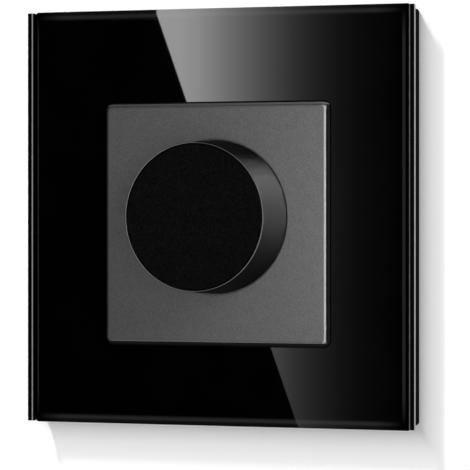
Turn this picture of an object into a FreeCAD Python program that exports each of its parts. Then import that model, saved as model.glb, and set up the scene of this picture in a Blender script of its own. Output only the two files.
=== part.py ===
import FreeCAD, Part
import math
import os
import Sketcher
from FreeCAD import Placement, Rotation, Vector

# Rotary dimmer switch for a 60 mm flush box, in millimetres.
# X runs to the right and Z up as one faces the dimmer. The wall is the plane Y = 0. Every depth in this
# file is an "out" value: the distance that a face stands out of the wall, towards the room, along -Y.
# Depths inside the wall are negative.
# The origin is on the wall, on the axis of the knob.

# Glass frame
frame_side = 86.0
frame_out = 5.5
rail_width = 0.9
rail_wall = 0.75
rail_short = 0.25
bevel_width = 0.4
bevel_fall = 0.12
rail_tongue = 1.2
glass_thickness = 2.0
glass_play = 0.05
glass_edge_round = 1.2
glass_corner_round = 0.6
window_side = 50.3
window_corner_round = 1.8
window_drop = 1.45
carrier_floor = 1.0
ledge_opening = 46.5
base_width = 6.0
base_outer_wall = 1.6
base_inner_wall = 1.4
base_roof = 1.0
base_rib = 1.2
frame_corner_round = 0.8

# Centre plate
cover_proud = 1.0
cover_side = 48.5
cover_thickness = 2.4
cover_corner_round = 0.95
cover_edge_round = 0.4
skirt_side = 49.6
skirt_step = 0.95
skirt_wall = 1.2
skirt_corner_round = 1.3
recess_depth = 1.2

# Knob and shaft
knob_base_radius = 15.75
knob_front_radius = 15.2
knob_height = 10.9
knob_sink = 0.2
knob_gap = 0.35
knob_wall = 1.6
knob_front_wall = 2.0
knob_rim = 0.45
knob_edge_round = 0.3
knob_travel = 0.7
knob_rib = 1.2
knob_rib_height = 4.5
face_depth = 0.8
face_play = 0.05
face_chamfer = 0.1
boss_radius = 5.0
boss_clearance = 0.4
clip_thickness = 0.5
clip_length = 3.0
clip_slot = 2.0
shaft_radius = 3.0
shaft_flat_cut = 1.5
shaft_front_gap = 0.4
spigot_radius = 2.0
spigot_flat_cut = 0.8
running_gap = 0.05
ring_thickness = 0.76
ring_radius = 4.2
ring_groove_cut = 0.5
ring_gap = 0.2
shaft_collar = 0.54

# Bushing and its nuts
bushing_radius = 5.0
bushing_flange = 1.0
bushing_past_nut = 0.7
thread_gap = 0.1
plate_nut_radius = 8.5
plate_nut_height = 2.6
plate_nut_notch = 2.4
washer_radius = 7.0
washer_thickness = 0.5
hex_nut_radius = 8.0
hex_nut_height = 1.7

# Support plate and housing
support_corner_cut = 7.0
support_thickness = 1.0
support_play = 0.7
box_screw_spacing = 60.0
box_slot_length = 6.0
box_slot_width = 3.5
housing_radius = 26.5
housing_half_width = 21.0
housing_wall = 1.6
housing_front_wall = 2.0
housing_edge_round = 1.2
front_boss_radius = 11.0
front_boss_height = 1.8
loose_gap = 0.3
post_wall_offset = 3.9
upper_post_up = 14.0
lower_post_down = 10.5
post_radius = 3.0
post_shoulder_radius = 4.25
housing_screw_radius = 1.45
housing_screw_head_radius = 2.6
housing_screw_head_height = 1.2
housing_screw_length = 10.0
screw_hole_gap = 0.25
driver_slot_width = 0.7
driver_slot_depth = 0.6
vent_width = 1.4
vent_length = 9.0
vent_pitch = 3.6

# Potentiometer
pot_radius = 8.25
pot_wall = 0.75
pot_floor = 1.0
track_outer_radius = 5.4
track_inner_radius = 3.2
track_thickness = 0.5
rotor_radius = 5.45
rotor_thickness = 2.1
rotor_hub_radius = 3.8
rotor_hub_height = 1.0
rotor_pivot_radius = 2.5
rotor_lug_width = 1.8
rotor_lug_reach = 7.0
rotor_lift = 1.3
stop_width = 8.6
stop_inner_radius = 5.75
wiper_thickness = 0.3
wiper_finger_width = 1.4
wafer_width = 13.0
wafer_reach = 10.2
pot_pin_pitch = 5.0
pot_pin_width = 0.9
pin_thickness = 0.5
pin_past_board = 1.2

# Circuit board
board_thickness = 1.6
board_play = 0.3
pin_hole_radius = 0.65

# Push switch
switch_side = 13.0
switch_floor_gap = 1.6
switch_wall = 1.0
plunger_radius = 2.2
plunger_gap = 0.1
plunger_stem = 1.5
plunger_block_width = 5.2
plunger_block_height = 7.0
plunger_block_depth = 1.6
guide_pin_radius = 1.0
guide_pin_gap = 0.1
bridge_length = 8.6
bridge_width = 1.6
bridge_thickness = 0.3
contact_pad = 1.3
contact_thickness = 0.35
blade_thickness = 0.5
blade_gap = 0.15
spring_radius = 1.6
spring_wire = 0.4
spring_length = 2.9
spring_turns = 4
wire_sides = 8

# Parts on the back of the board
sink_half_width = 9.5
sink_low = 8.6
sink_height = 12.0
sink_thickness = 1.8
triac_half_width = 5.0
triac_low = 9.6
triac_height = 6.0
triac_thickness = 4.0
tab_height = 4.8
tab_thickness = 1.2
tab_hole_up = 2.7
leg_pitch = 2.54
leg_width = 0.7
leg_thickness = 0.4
leg_reach = 1.2
sink_screw_radius = 1.45
sink_screw_head_radius = 2.3
sink_screw_head_height = 1.8
choke_clearance = 0.75
choke_up = 2.0
choke_ring_wall = 2.2
choke_height = 4.8
choke_wire = 0.65
choke_turn_pitch = 0.94
film_switch_gap = 1.7
film_wall_gap = 2.2
film_low = 4.5
film_height = 12.5
film_depth = 7.6
film_lead_inset = 1.35
lead_radius = 0.35

# Parts on the front of the board
can_wall_gap = 1.2
can_up = 5.0
can_radius = 4.0
can_height = 8.2
chip_wall_gap = 2.4
chip_width = 4.2
chip_height = 8.8
chip_thickness = 1.6
chip_pin_pitch = 1.27
chip_pin_width = 0.45
chip_pin_reach = 1.0
chip_pins_per_side = 6
resistor_radius = 1.0
resistor_length = 5.6
resistor_wall_gap = 7.4
resistor_foot_gap = 5.9
resistor_pot_gap = 1.7
resistor_pitch = 2.8
resistor_lead_span = 8.0
fuse_radius = 2.6
fuse_length = 20.0
fuse_up = 15.2
fuse_clip_across = 7.6
fuse_clip_width = 3.6
fuse_clip_wall = 0.5
trimmer_across = 7.5
trimmer_down = 15.2
trimmer_side = 6.6
trimmer_height = 5.0
trimmer_rotor_radius = 2.2
trimmer_rotor_seat = 3.0
trimmer_below_front = 0.6

# Terminals
terminal_half_width = 13.5
terminal_top_down = 16.5
terminal_height = 8.0
terminal_pitch = 8.6
terminal_wall = 1.1
cage_width = 6.2
cage_depth = 5.8
cage_wall = 0.9
cage_rear_wall = 1.2
cage_play = 0.2
wire_hole_radius = 1.6
terminal_screw_radius = 1.7
terminal_screw_head_radius = 2.9
terminal_screw_head_height = 2.0
terminal_screw_neck = 0.9
terminal_screw_reach = 0.2
terminal_count = 3

# Spreading claws
claw_clearance = 0.4
claw_pivot_in = 4.2
claw_arm_margin = 1.0
claw_arm_gap = 9.0
claw_sheet = 1.0
claw_arm_length = 13.8
claw_tooth = 3.9
claw_tooth_depth = 1.4
claw_bridge_below = 0.6
claw_bridge_reach = 5.8
claw_screw_offset = 3.9
claw_screw_radius = 1.45
claw_screw_head_radius = 2.7
claw_screw_head_height = 1.2
claw_screw_length = 16.0
claw_screw_hole_gap = 0.55
claw_pin_radius = 0.8
ear_gap = 1.5
ear_depth_below_pin = 1.2

doc = FreeCAD.newDocument("RotaryDimmer")
sheet = doc.addObject("Spreadsheet::Sheet", "Sizes")
aliases = []
nodes = []


class Size:
    """A length as a number, together with the words that work it out from the sheet."""

    def __init__(self, number, words):
        self.number = number
        self.words = words

    def __add__(self, other):
        other = as_size(other)
        return Size(self.number + other.number, f"({self.words} + {other.words})")

    def __radd__(self, other):
        return as_size(other) + self

    def __sub__(self, other):
        other = as_size(other)
        return Size(self.number - other.number, f"({self.words} - {other.words})")

    def __rsub__(self, other):
        return as_size(other) - self

    def __mul__(self, factor):
        return Size(self.number * factor, f"({self.words} * {factor})")

    def __rmul__(self, factor):
        return self * factor

    def __truediv__(self, divisor):
        return Size(self.number / divisor, f"({self.words} / {divisor})")

    def __neg__(self):
        return Size(-self.number, f"(0 - {self.words})")


def as_size(value):
    if isinstance(value, Size):
        return value
    return Size(float(value), str(value))


def driving(alias, number):
    """Write one driving dimension in the sheet and return it."""
    aliases.append(alias)
    row = str(len(aliases))
    sheet.set("A" + row, alias)
    sheet.set("B" + row, str(number))
    sheet.setAlias("B" + row, alias)
    return Size(number, "Sizes." + alias)


def smaller_of(first, second):
    return Size(min(first.number, second.number), f"min({first.words}; {second.words})")


# Every length above becomes a cell of the sheet, and from here on its name stands for that cell
for alias, number in list(globals().items()):
    if isinstance(number, float):
        globals()[alias] = driving(alias, number)

# Depths and half sizes that follow from the driving dimensions
half_frame = frame_side / 2
body_half = half_frame - rail_width
glass_seat = body_half - bevel_width
glass_half = glass_seat - glass_play
glass_front = frame_out - bevel_fall
glass_back = glass_front - glass_thickness
carrier_back = glass_back - carrier_floor
inner_half = body_half - base_width
support_half = inner_half - support_play

cover_front = frame_out + cover_proud
cover_back = cover_front - cover_thickness
recess_floor = cover_front - recess_depth
plate_nut_front = recess_floor + plate_nut_height
bushing_front = plate_nut_front + bushing_past_nut
knob_front = cover_front + knob_height
knob_back = cover_front - knob_sink
knob_inner_front = knob_front - knob_front_wall
boss_back = bushing_front + knob_travel + boss_clearance
shaft_front = knob_inner_front - shaft_front_gap

# From the housing's front wall back: flange, ring, shaft collar, room for the push, rotor, case floor, board
housing_join_out = -housing_front_wall
pot_front = housing_join_out - bushing_flange
ring_front = pot_front - ring_gap
ring_back = ring_front - ring_thickness
spigot_front = ring_back - shaft_collar
hub_front = spigot_front - knob_travel - boss_clearance
rotor_front = hub_front - rotor_hub_height
rotor_back = rotor_front - rotor_thickness
pot_back = rotor_back - rotor_lift - pot_floor
board_front = pot_back
board_back = board_front - board_thickness

# Behind the board: the push switch, and the housing's floor behind it
plunger_front = board_back - switch_wall + plunger_gap
spigot_back = plunger_front + plunger_gap
plunger_block_front = plunger_front - plunger_stem
plunger_block_back = plunger_block_front - plunger_block_depth
bridge_back = plunger_block_back - bridge_thickness
contact_front = bridge_back - knob_travel - running_gap
switch_floor = bridge_back - spring_length
guide_pin_back = switch_floor + knob_travel + guide_pin_gap
switch_back = switch_floor - switch_wall
housing_floor_out = switch_back - switch_floor_gap
housing_rear_out = housing_floor_out - housing_wall

# Across the housing, from its flat side walls inwards
housing_inner_half = housing_half_width - housing_wall
switch_half = switch_side / 2
post_across = housing_inner_half - post_wall_offset
choke_across = (housing_inner_half + switch_half) / 2
choke_outer_radius = (housing_inner_half - switch_half) / 2 - choke_clearance - choke_wire - running_gap
choke_inner_radius = choke_outer_radius - choke_ring_wall
film_left = switch_half + film_switch_gap
film_width = housing_inner_half - film_wall_gap - film_left
can_across = housing_inner_half - can_wall_gap - can_radius
chip_left = housing_inner_half - chip_wall_gap - chip_pin_reach - chip_width
resistor_left = housing_inner_half - resistor_wall_gap
claw_pivot_across = housing_half_width + claw_clearance + claw_arm_margin
claw_screw_across = claw_pivot_across + claw_screw_offset

FACING_OUT = Rotation(Vector(1, 0, 0), 90)
FACING_RIGHT = Rotation(Vector(0, 1, 0), 90)
FACING_UP = Rotation(Vector(0, 0, 1), 0)


# Helpers for plain solids


def bind(item, path, size):
    """Tie one property to the sheet."""
    if "Sizes." in size.words:
        item.setExpression(path, size.words)


def place(item, x, up, out, turn):
    x, up, depth = as_size(x), as_size(up), -as_size(out)
    item.Placement = Placement(Vector(x.number, depth.number, up.number), turn)
    bind(item, "Placement.Base.x", x)
    bind(item, "Placement.Base.y", depth)
    bind(item, "Placement.Base.z", up)
    return item


def set_size(item, path, size):
    size = as_size(size)
    setattr(item, path, size.number)
    bind(item, path, size)


def span(middle, half):
    return (as_size(middle) - half, as_size(middle) + half)


def block(x, up, out):
    """A box between pairs of low and high coordinates."""
    item = doc.addObject("Part::Box", "Block")
    set_size(item, "Length", as_size(x[1]) - x[0])
    set_size(item, "Width", as_size(up[1]) - up[0])
    set_size(item, "Height", as_size(out[1]) - out[0])
    return place(item, x[0], up[0], out[0], FACING_OUT)


def cylinder(radius, length, x, up, out, turn):
    item = doc.addObject("Part::Cylinder", "Rod")
    set_size(item, "Radius", radius)
    set_size(item, "Height", length)
    return place(item, x, up, out, turn)


def rod(radius, out, x=0, up=0):
    """A round bar along the knob's direction, between two depths."""
    return cylinder(radius, as_size(out[1]) - out[0], x, up, out[0], FACING_OUT)


def rod_across(radius, x, up, out):
    return cylinder(radius, as_size(x[1]) - x[0], x[0], up, out, FACING_RIGHT)


def rod_upright(radius, up, x, out):
    return cylinder(radius, as_size(up[1]) - up[0], x, up[0], out, FACING_UP)


def join(pieces):
    item = doc.addObject("Part::MultiFuse", "Join")
    item.Shapes = pieces
    item.Refine = True
    return item


def cut(base, tools):
    item = doc.addObject("Part::Cut", "Cut")
    item.Base = base
    item.Tool = tools[0] if len(tools) == 1 else join(tools)
    return item


def common(first, second):
    item = doc.addObject("Part::Common", "Common")
    item.Base = first
    item.Tool = second
    return item


def group(pieces):
    """Identical pieces in one node, each a solid of its own."""
    item = doc.addObject("Part::Compound", "Group")
    item.Links = pieces
    return item


def mirrored(source):
    item = doc.addObject("Part::Mirroring", "Mirror")
    item.Source = source
    item.Normal = Vector(1, 0, 0)
    return item


def ring(outer_radius, inner_radius, out, x=0, up=0):
    return cut(rod(outer_radius, out, x, up), [rod(inner_radius, out, x, up)])


def node(name, item):
    """Give a finished sub-part its name."""
    item.Label = name
    nodes.append(item)
    return item


# Helpers for bodies with sketches


def new_body(name):
    return doc.addObject("PartDesign::Body", "Body_" + name)


def origin_feature(body, role):
    for feature in body.Origin.OriginFeatures:
        if feature.Role == role:
            return feature
    raise ValueError(role)


def new_sketch(body, role, offset=0):
    sketch = body.newObject("Sketcher::SketchObject", "Sketch")
    sketch.AttachmentSupport = [(origin_feature(body, role), "")]
    sketch.MapMode = "FlatFace"
    offset = as_size(offset)
    sketch.AttachmentOffset = Placement(Vector(0, 0, offset.number), Rotation())
    bind(sketch, "AttachmentOffset.Base.z", offset)
    return sketch


def fix_point(sketch, geometry, point, x, y):
    """Hold one point of the sketch at a place that the sheet gives."""
    for kind, size in (("DistanceX", x), ("DistanceY", y)):
        constraint = sketch.addConstraint(Sketcher.Constraint(kind, -1, 1, geometry, point, size.number))
        bind(sketch, f"Constraints[{constraint}]", size)


def draw_polygon(sketch, corners):
    corners = [(as_size(x), as_size(y)) for x, y in corners]
    first = sketch.GeometryCount
    count = len(corners)
    for index in range(count):
        start = corners[index]
        end = corners[(index + 1) % count]
        line = Part.LineSegment(Vector(start[0].number, start[1].number, 0), Vector(end[0].number, end[1].number, 0))
        sketch.addGeometry(line, False)
    for index in range(count):
        following = first + (index + 1) % count
        sketch.addConstraint(Sketcher.Constraint("Coincident", first + index, 2, following, 1))
    for index in range(count):
        fix_point(sketch, first + index, 1, corners[index][0], corners[index][1])


def draw_rectangle(sketch, x, y):
    draw_polygon(sketch, [(x[0], y[0]), (x[1], y[0]), (x[1], y[1]), (x[0], y[1])])


def draw_circle(sketch, radius, x=0, y=0):
    x, y = as_size(x), as_size(y)
    circle = sketch.addGeometry(Part.Circle(Vector(x.number, y.number, 0), Vector(0, 0, 1), radius.number), False)
    constraint = sketch.addConstraint(Sketcher.Constraint("Radius", circle, radius.number))
    bind(sketch, f"Constraints[{constraint}]", radius)
    fix_point(sketch, circle, 3, x, y)


def pad(body, sketch, length, midplane=False):
    feature = body.newObject("PartDesign::Pad", "Pad")
    feature.Profile = sketch
    feature.Midplane = midplane
    set_size(feature, "Length", length)
    doc.recompute()
    return feature


def pocket(body, sketch, length, towards_room=False):
    """Cut a sketch into the body, towards the wall or towards the room."""
    before = body.Shape.Volume
    feature = body.newObject("PartDesign::Pocket", "Pocket")
    feature.Profile = sketch
    feature.Reversed = towards_room
    set_size(feature, "Length", length)
    doc.recompute()
    if not body.Shape.Volume < before:
        raise ValueError("a pocket cut nothing in " + body.Name)
    return feature


def revolve(body, profile):
    """Turn an outline of (radius, out) points about the knob's direction."""
    sketch = new_sketch(body, "XY_Plane")
    draw_polygon(sketch, [(radius, -as_size(out)) for radius, out in profile])
    feature = body.newObject("PartDesign::Revolution", "Revolution")
    feature.Profile = sketch
    feature.ReferenceAxis = (origin_feature(body, "Y_Axis"), [""])
    feature.Angle = 360
    doc.recompute()
    return feature


def edges_where(shape, wanted):
    return [f"Edge{index + 1}" for index, edge in enumerate(shape.Edges) if wanted(edge)]


def round_edges(body, radius, wanted):
    base = body.Tip
    names = edges_where(base.Shape, wanted)
    if not names:
        raise ValueError("no edge to round in " + body.Name)
    feature = body.newObject("PartDesign::Fillet", "Fillet")
    feature.Base = (base, names)
    set_size(feature, "Radius", radius)
    doc.recompute()
    return feature


def near(first, second):
    return abs(first - second) < 1e-3


def points_out(edge):
    """True for a straight edge that runs towards the room."""
    box = edge.BoundBox
    return near(box.XLength, 0) and near(box.ZLength, 0) and not near(box.YLength, 0)


def corner_edge(half_x, half_up, up_middle=0):
    """A test for the edges that point out of the wall at a rectangle's corners."""
    half_x, half_up, up_middle = as_size(half_x), as_size(half_up), as_size(up_middle)

    def wanted(edge):
        if not points_out(edge):
            return False
        point = edge.Vertexes[0].Point
        return near(abs(point.x), half_x.number) and near(abs(point.z - up_middle.number), half_up.number)

    return wanted


def rim_edge(out, half_x, up_middle=0):
    """A test for the edges that lie at one depth around a rectangle of one half width."""
    out, half_x, up_middle = as_size(out), as_size(half_x), as_size(up_middle)

    def wanted(edge):
        box = edge.BoundBox
        if not (near(box.YMin, -out.number) and near(box.YMax, -out.number)):
            return False
        reach = max(abs(box.XMin), abs(box.XMax), abs(box.ZMin - up_middle.number), abs(box.ZMax - up_middle.number))
        return reach > half_x.number - 2.5

    return wanted


# Glass frame


def glass_panel():
    """Black-backed glass with softly rounded edges and a square window."""
    body = new_body("glass")
    outline = new_sketch(body, "XZ_Plane", glass_back)
    draw_rectangle(outline, (-glass_half, glass_half), (-half_frame, half_frame))
    pad(body, outline, glass_thickness)
    round_edges(body, glass_corner_round, corner_edge(glass_half, half_frame))
    edge_round = smaller_of(glass_edge_round, glass_thickness * 0.8)
    round_edges(body, edge_round, rim_edge(glass_front, glass_half))
    window = new_sketch(body, "XZ_Plane", glass_front)
    half = window_side / 2
    draw_rectangle(window, (-half, half), (-half - window_drop, half - window_drop))
    pocket(body, window, glass_thickness)
    round_edges(body, window_corner_round, corner_edge(half, half, -window_drop))
    return body


def side_rail():
    """Aluminium rail on the right: black front, bright inner bevel and outer wall, tongue behind the bevel."""
    body = new_body("rail")
    section = new_sketch(body, "XY_Plane")
    tongue_back = frame_out - rail_tongue
    lip_back = frame_out - rail_wall
    outline = [
        (glass_seat, tongue_back),
        (body_half, tongue_back),
        (body_half, lip_back),
        (half_frame, lip_back),
        (half_frame, frame_out),
        (body_half, frame_out),
        (glass_seat, glass_front),
    ]
    draw_polygon(section, [(x, -out) for x, out in outline])
    pad(body, section, frame_side - rail_short * 2, midplane=True)
    return body


def carrier_frame():
    """Plastic tray behind the glass, with a wall under each rail and a ledge under the centre plate."""
    body = new_body("carrier")
    floor = new_sketch(body, "XZ_Plane", carrier_back)
    draw_rectangle(floor, (-body_half, body_half), (-body_half, body_half))
    pad(body, floor, carrier_floor)
    walls = new_sketch(body, "XZ_Plane", glass_back)
    draw_rectangle(walls, (glass_seat, body_half), (-body_half, body_half))
    draw_rectangle(walls, (-body_half, -glass_seat), (-body_half, body_half))
    pad(body, walls, frame_out - rail_tongue - glass_back)
    opening = new_sketch(body, "XZ_Plane", glass_back)
    half = ledge_opening / 2
    draw_rectangle(opening, (-half, half), (-half - window_drop, half - window_drop))
    pocket(body, opening, carrier_floor)
    return body


def base_frame():
    """Ring against the wall, hollow behind and stiffened with ribs."""
    body = new_body("base")
    outline = new_sketch(body, "XZ_Plane")
    draw_rectangle(outline, (-body_half, body_half), (-body_half, body_half))
    pad(body, outline, carrier_back)
    round_edges(body, frame_corner_round, corner_edge(body_half, body_half))
    opening = new_sketch(body, "XZ_Plane", carrier_back)
    draw_rectangle(opening, (-inner_half, inner_half), (-inner_half, inner_half))
    pocket(body, opening, carrier_back)
    channel = new_sketch(body, "XZ_Plane")
    outer = body_half - base_outer_wall
    inner = inner_half + base_inner_wall
    draw_rectangle(channel, (-outer, outer), (-outer, outer))
    draw_rectangle(channel, (-inner, inner), (-inner, inner))
    pocket(body, channel, carrier_back - base_roof, towards_room=True)
    ribs = []
    low = inner - base_inner_wall / 2
    high = outer + base_outer_wall / 2
    depth = (carrier_back * 0.2, carrier_back - base_roof / 2)
    for step in (-1, 0, 1):
        middle = inner * (step * 0.66)
        across = span(middle, base_rib / 2)
        ribs.append(block((low, high), across, depth))
        ribs.append(block((-high, -low), across, depth))
        ribs.append(block(across, (low, high), depth))
        ribs.append(block(across, (-high, -low), depth))
    return join([body] + ribs)


def centre_plate():
    """Square cover with a stepped skirt, a round recess for the knob and a hole for the bushing."""
    body = new_body("cover")
    skirt_half = skirt_side / 2
    cover_half = cover_side / 2
    middle = -window_drop
    step_out = cover_front - skirt_step
    skirt = new_sketch(body, "XZ_Plane", glass_back)
    draw_rectangle(skirt, (-skirt_half, skirt_half), (middle - skirt_half, middle + skirt_half))
    pad(body, skirt, step_out - glass_back)
    round_edges(body, skirt_corner_round, corner_edge(skirt_half, skirt_half, middle))
    face = new_sketch(body, "XZ_Plane", step_out)
    draw_rectangle(face, (-cover_half, cover_half), (middle - cover_half, middle + cover_half))
    pad(body, face, skirt_step)
    round_edges(body, cover_corner_round, corner_edge(cover_half, cover_half, middle))
    round_edges(body, cover_edge_round, rim_edge(cover_front, cover_half, middle))
    hollow = new_sketch(body, "XZ_Plane", glass_back)
    inside = skirt_half - skirt_wall
    draw_rectangle(hollow, (-inside, inside), (middle - inside, middle + inside))
    pocket(body, hollow, cover_back - glass_back, towards_room=True)
    recess = new_sketch(body, "XZ_Plane", cover_front)
    draw_circle(recess, knob_base_radius + knob_gap)
    pocket(body, recess, recess_depth)
    hole = new_sketch(body, "XZ_Plane", recess_floor)
    draw_circle(hole, bushing_radius + thread_gap)
    pocket(body, hole, cover_thickness)
    return body


# Knob and shaft


def flat_bore(radius, flat_up, out):
    """The space of a round bar with one flat."""
    reach = radius * 2
    return cut(rod(radius, out), [block((-reach, reach), (flat_up, reach), out)])


def knob():
    """Hollow tapered knob with a rim for the face disc, a boss for the shaft and ribs."""
    body = new_body("knob")
    recess_out = knob_front - face_depth
    outline = [
        (0, boss_back),
        (boss_radius, boss_back),
        (boss_radius, knob_inner_front),
        (knob_front_radius - knob_wall, knob_inner_front),
        (knob_base_radius - knob_wall, knob_back),
        (knob_base_radius, knob_back),
        (knob_front_radius, knob_front),
        (knob_front_radius - knob_rim, knob_front),
        (knob_front_radius - knob_rim, recess_out),
        (0, recess_out),
    ]
    revolve(body, outline)

    def front_rim(edge):
        at_front = near(edge.BoundBox.YMin, -knob_front.number) and near(edge.BoundBox.YMax, -knob_front.number)
        return at_front and near(edge.BoundBox.XMax, knob_front_radius.number)

    round_edges(body, smaller_of(knob_edge_round, knob_rim * 0.8), front_rim)
    rib = new_sketch(body, "XZ_Plane", knob_inner_front - knob_rib_height)
    rib_start = boss_radius + clip_thickness + loose_gap
    draw_rectangle(rib, (rib_start, knob_front_radius - knob_wall / 2), (-knob_rib / 2, knob_rib / 2))
    rib_pad = pad(body, rib, knob_rib_height + (knob_front_wall - face_depth) / 2)
    pattern = body.newObject("PartDesign::PolarPattern", "Ribs")
    pattern.Originals = [rib_pad]
    pattern.Axis = (origin_feature(body, "Y_Axis"), [""])
    pattern.Angle = 360
    pattern.Occurrences = 6
    body.Tip = pattern
    bore_end = shaft_front + shaft_front_gap / 2
    flat_up = shaft_radius - shaft_flat_cut + running_gap
    return cut(body, [flat_bore(shaft_radius + running_gap, flat_up, (boss_back, bore_end))])


def knob_face():
    """Black inlay disc in the knob's front."""
    body = new_body("face")
    back = knob_front - face_depth
    front = knob_front - face_play
    radius = knob_front_radius - knob_rim - face_play
    outline = [(0, back), (radius, back), (radius, front - face_chamfer), (radius - face_chamfer, front), (0, front)]
    revolve(body, outline)
    return body


def knob_spring_clip():
    """Slotted steel ring around the boss."""
    start = boss_back + boss_clearance
    depth = (start, start + clip_length)
    inner = boss_radius + running_gap
    outer = inner + clip_thickness
    return cut(ring(outer, inner, depth), [block(span(0, clip_slot / 2), (0, outer * 2), depth)])


def shaft():
    """Shaft with a front flat, a groove for the retaining ring and a flatted rear spigot."""
    body = new_body("shaft")
    chamfer = shaft_radius / 8
    groove_back = ring_back - running_gap
    groove_front = ring_front + running_gap
    groove_radius = shaft_radius - ring_groove_cut
    outline = [
        (0, spigot_back),
        (spigot_radius, spigot_back),
        (spigot_radius, spigot_front),
        (shaft_radius, spigot_front),
        (shaft_radius, groove_back),
        (groove_radius, groove_back),
        (groove_radius, groove_front),
        (shaft_radius, groove_front),
        (shaft_radius, shaft_front - chamfer),
        (shaft_radius - chamfer, shaft_front),
        (0, shaft_front),
    ]
    revolve(body, outline)
    wide = (-shaft_radius * 2, shaft_radius * 2)
    front_flat = block(wide, (shaft_radius - shaft_flat_cut, shaft_radius * 2), (bushing_front, shaft_front))
    rear_flat = block(wide, (spigot_radius - spigot_flat_cut, shaft_radius * 2), (spigot_back, spigot_front))
    return cut(body, [front_flat, rear_flat])


def retaining_ring():
    inner = shaft_radius - ring_groove_cut + running_gap
    depth = (ring_back, ring_front)
    opening = block(span(0, inner / 2), (-ring_radius * 2, 0), depth)
    return cut(ring(ring_radius, inner, depth), [opening])


def bushing():
    """Threaded tube with the flange that closes the potentiometer."""
    body = new_body("bushing")
    chamfer = thread_gap * 4
    bore = shaft_radius + running_gap
    outline = [
        (bore, pot_front),
        (pot_radius, pot_front),
        (pot_radius, housing_join_out),
        (bushing_radius, housing_join_out),
        (bushing_radius, bushing_front - chamfer),
        (bushing_radius - chamfer, bushing_front),
        (bore, bushing_front),
    ]
    revolve(body, outline)
    return body


def plate_nut():
    """Round nut with two notches for a key."""
    depth = (recess_floor, plate_nut_front)
    nut = ring(plate_nut_radius, bushing_radius + thread_gap, depth)
    notch_start = (plate_nut_radius + bushing_radius) / 2
    half = plate_nut_notch / 2
    right = block((notch_start, plate_nut_radius * 2), (-half, half), depth)
    left = block((-plate_nut_radius * 2, -notch_start), (-half, half), depth)
    return cut(nut, [right, left])


def lock_washer():
    depth = (front_boss_height, front_boss_height + washer_thickness)
    return ring(washer_radius, bushing_radius + thread_gap, depth)


def bushing_nut():
    hexagon = doc.addObject("Part::Prism", "Hexagon")
    hexagon.Polygon = 6
    set_size(hexagon, "Circumradius", hex_nut_radius)
    set_size(hexagon, "Height", hex_nut_height)
    back = front_boss_height + washer_thickness
    place(hexagon, 0, 0, back, FACING_OUT)
    return cut(hexagon, [rod(bushing_radius + thread_gap, (back, back + hex_nut_height))])


# Support plate and housing


def post_places():
    return [(side * post_across, up) for side in (-1, 1) for up in (upper_post_up, -lower_post_down)]


def claw_ears():
    """Tabs bent back from the support plate, which carry the claws' pins."""
    inner = claw_arm_gap / 2 + claw_sheet + ear_gap
    half = claw_arm_margin
    back = -claw_pivot_in - ear_depth_below_pin
    ears = []
    for side in (-1, 1):
        for end in (-1, 1):
            up = span(end * (inner + claw_sheet / 2), claw_sheet / 2)
            ear = block(span(side * claw_pivot_across, half), up, (back, support_thickness / 2))
            hole = rod_upright(claw_pin_radius + running_gap, up, side * claw_pivot_across, -claw_pivot_in)
            ears.append(cut(ear, [hole]))
    return ears


def support_plate():
    """Steel plate that the flush box's screws hold, with the housing behind it."""
    body = new_body("support")
    outline = new_sketch(body, "XZ_Plane")
    edge = support_half
    start = support_half - support_corner_cut
    corners = [
        (edge, start),
        (start, edge),
        (-start, edge),
        (-edge, start),
        (-edge, -start),
        (-start, -edge),
        (start, -edge),
        (edge, -start),
    ]
    draw_polygon(outline, corners)
    pad(body, outline, support_thickness)
    through = (0, support_thickness)
    tools = [rod(front_boss_radius + loose_gap, through)]
    tools.append(rod(trimmer_rotor_radius + loose_gap * 2, through, trimmer_across, -trimmer_down))
    for x, up in post_places():
        tools.append(rod(housing_screw_radius + screw_hole_gap, through, x, up))
    for side in (-1, 1):
        tools.append(rod(claw_screw_radius + screw_hole_gap, through, side * claw_screw_across, 0))
        middle = side * box_screw_spacing / 2
        straight = box_slot_length / 2 - box_slot_width / 2
        tools.append(block(span(0, box_slot_width / 2), span(middle, straight), through))
        tools.append(rod(box_slot_width / 2, through, 0, middle - straight))
        tools.append(rod(box_slot_width / 2, through, 0, middle + straight))
    return join([cut(body, tools)] + claw_ears())


def housing_outline(inset, out):
    """A round bar with two flat sides."""
    half = housing_half_width - inset
    radius = housing_radius - inset
    return common(rod(radius, out), block((-half, half), (-radius * 2, radius * 2), out))


def housing_front():
    """Front shell with the boss that centres the support plate."""
    shell = housing_outline(0, (housing_join_out, 0))
    boss = rod(front_boss_radius, (housing_join_out, front_boss_height))
    whole = (housing_join_out, front_boss_height)
    tools = [rod(bushing_radius + thread_gap, whole)]
    tools.append(rod(trimmer_rotor_radius + loose_gap, (housing_join_out, 0), trimmer_across, -trimmer_down))
    for x, up in post_places():
        tools.append(rod(housing_screw_radius + screw_hole_gap, (housing_join_out, 0), x, up))
    return cut(join([shell, boss]), tools)


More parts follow.
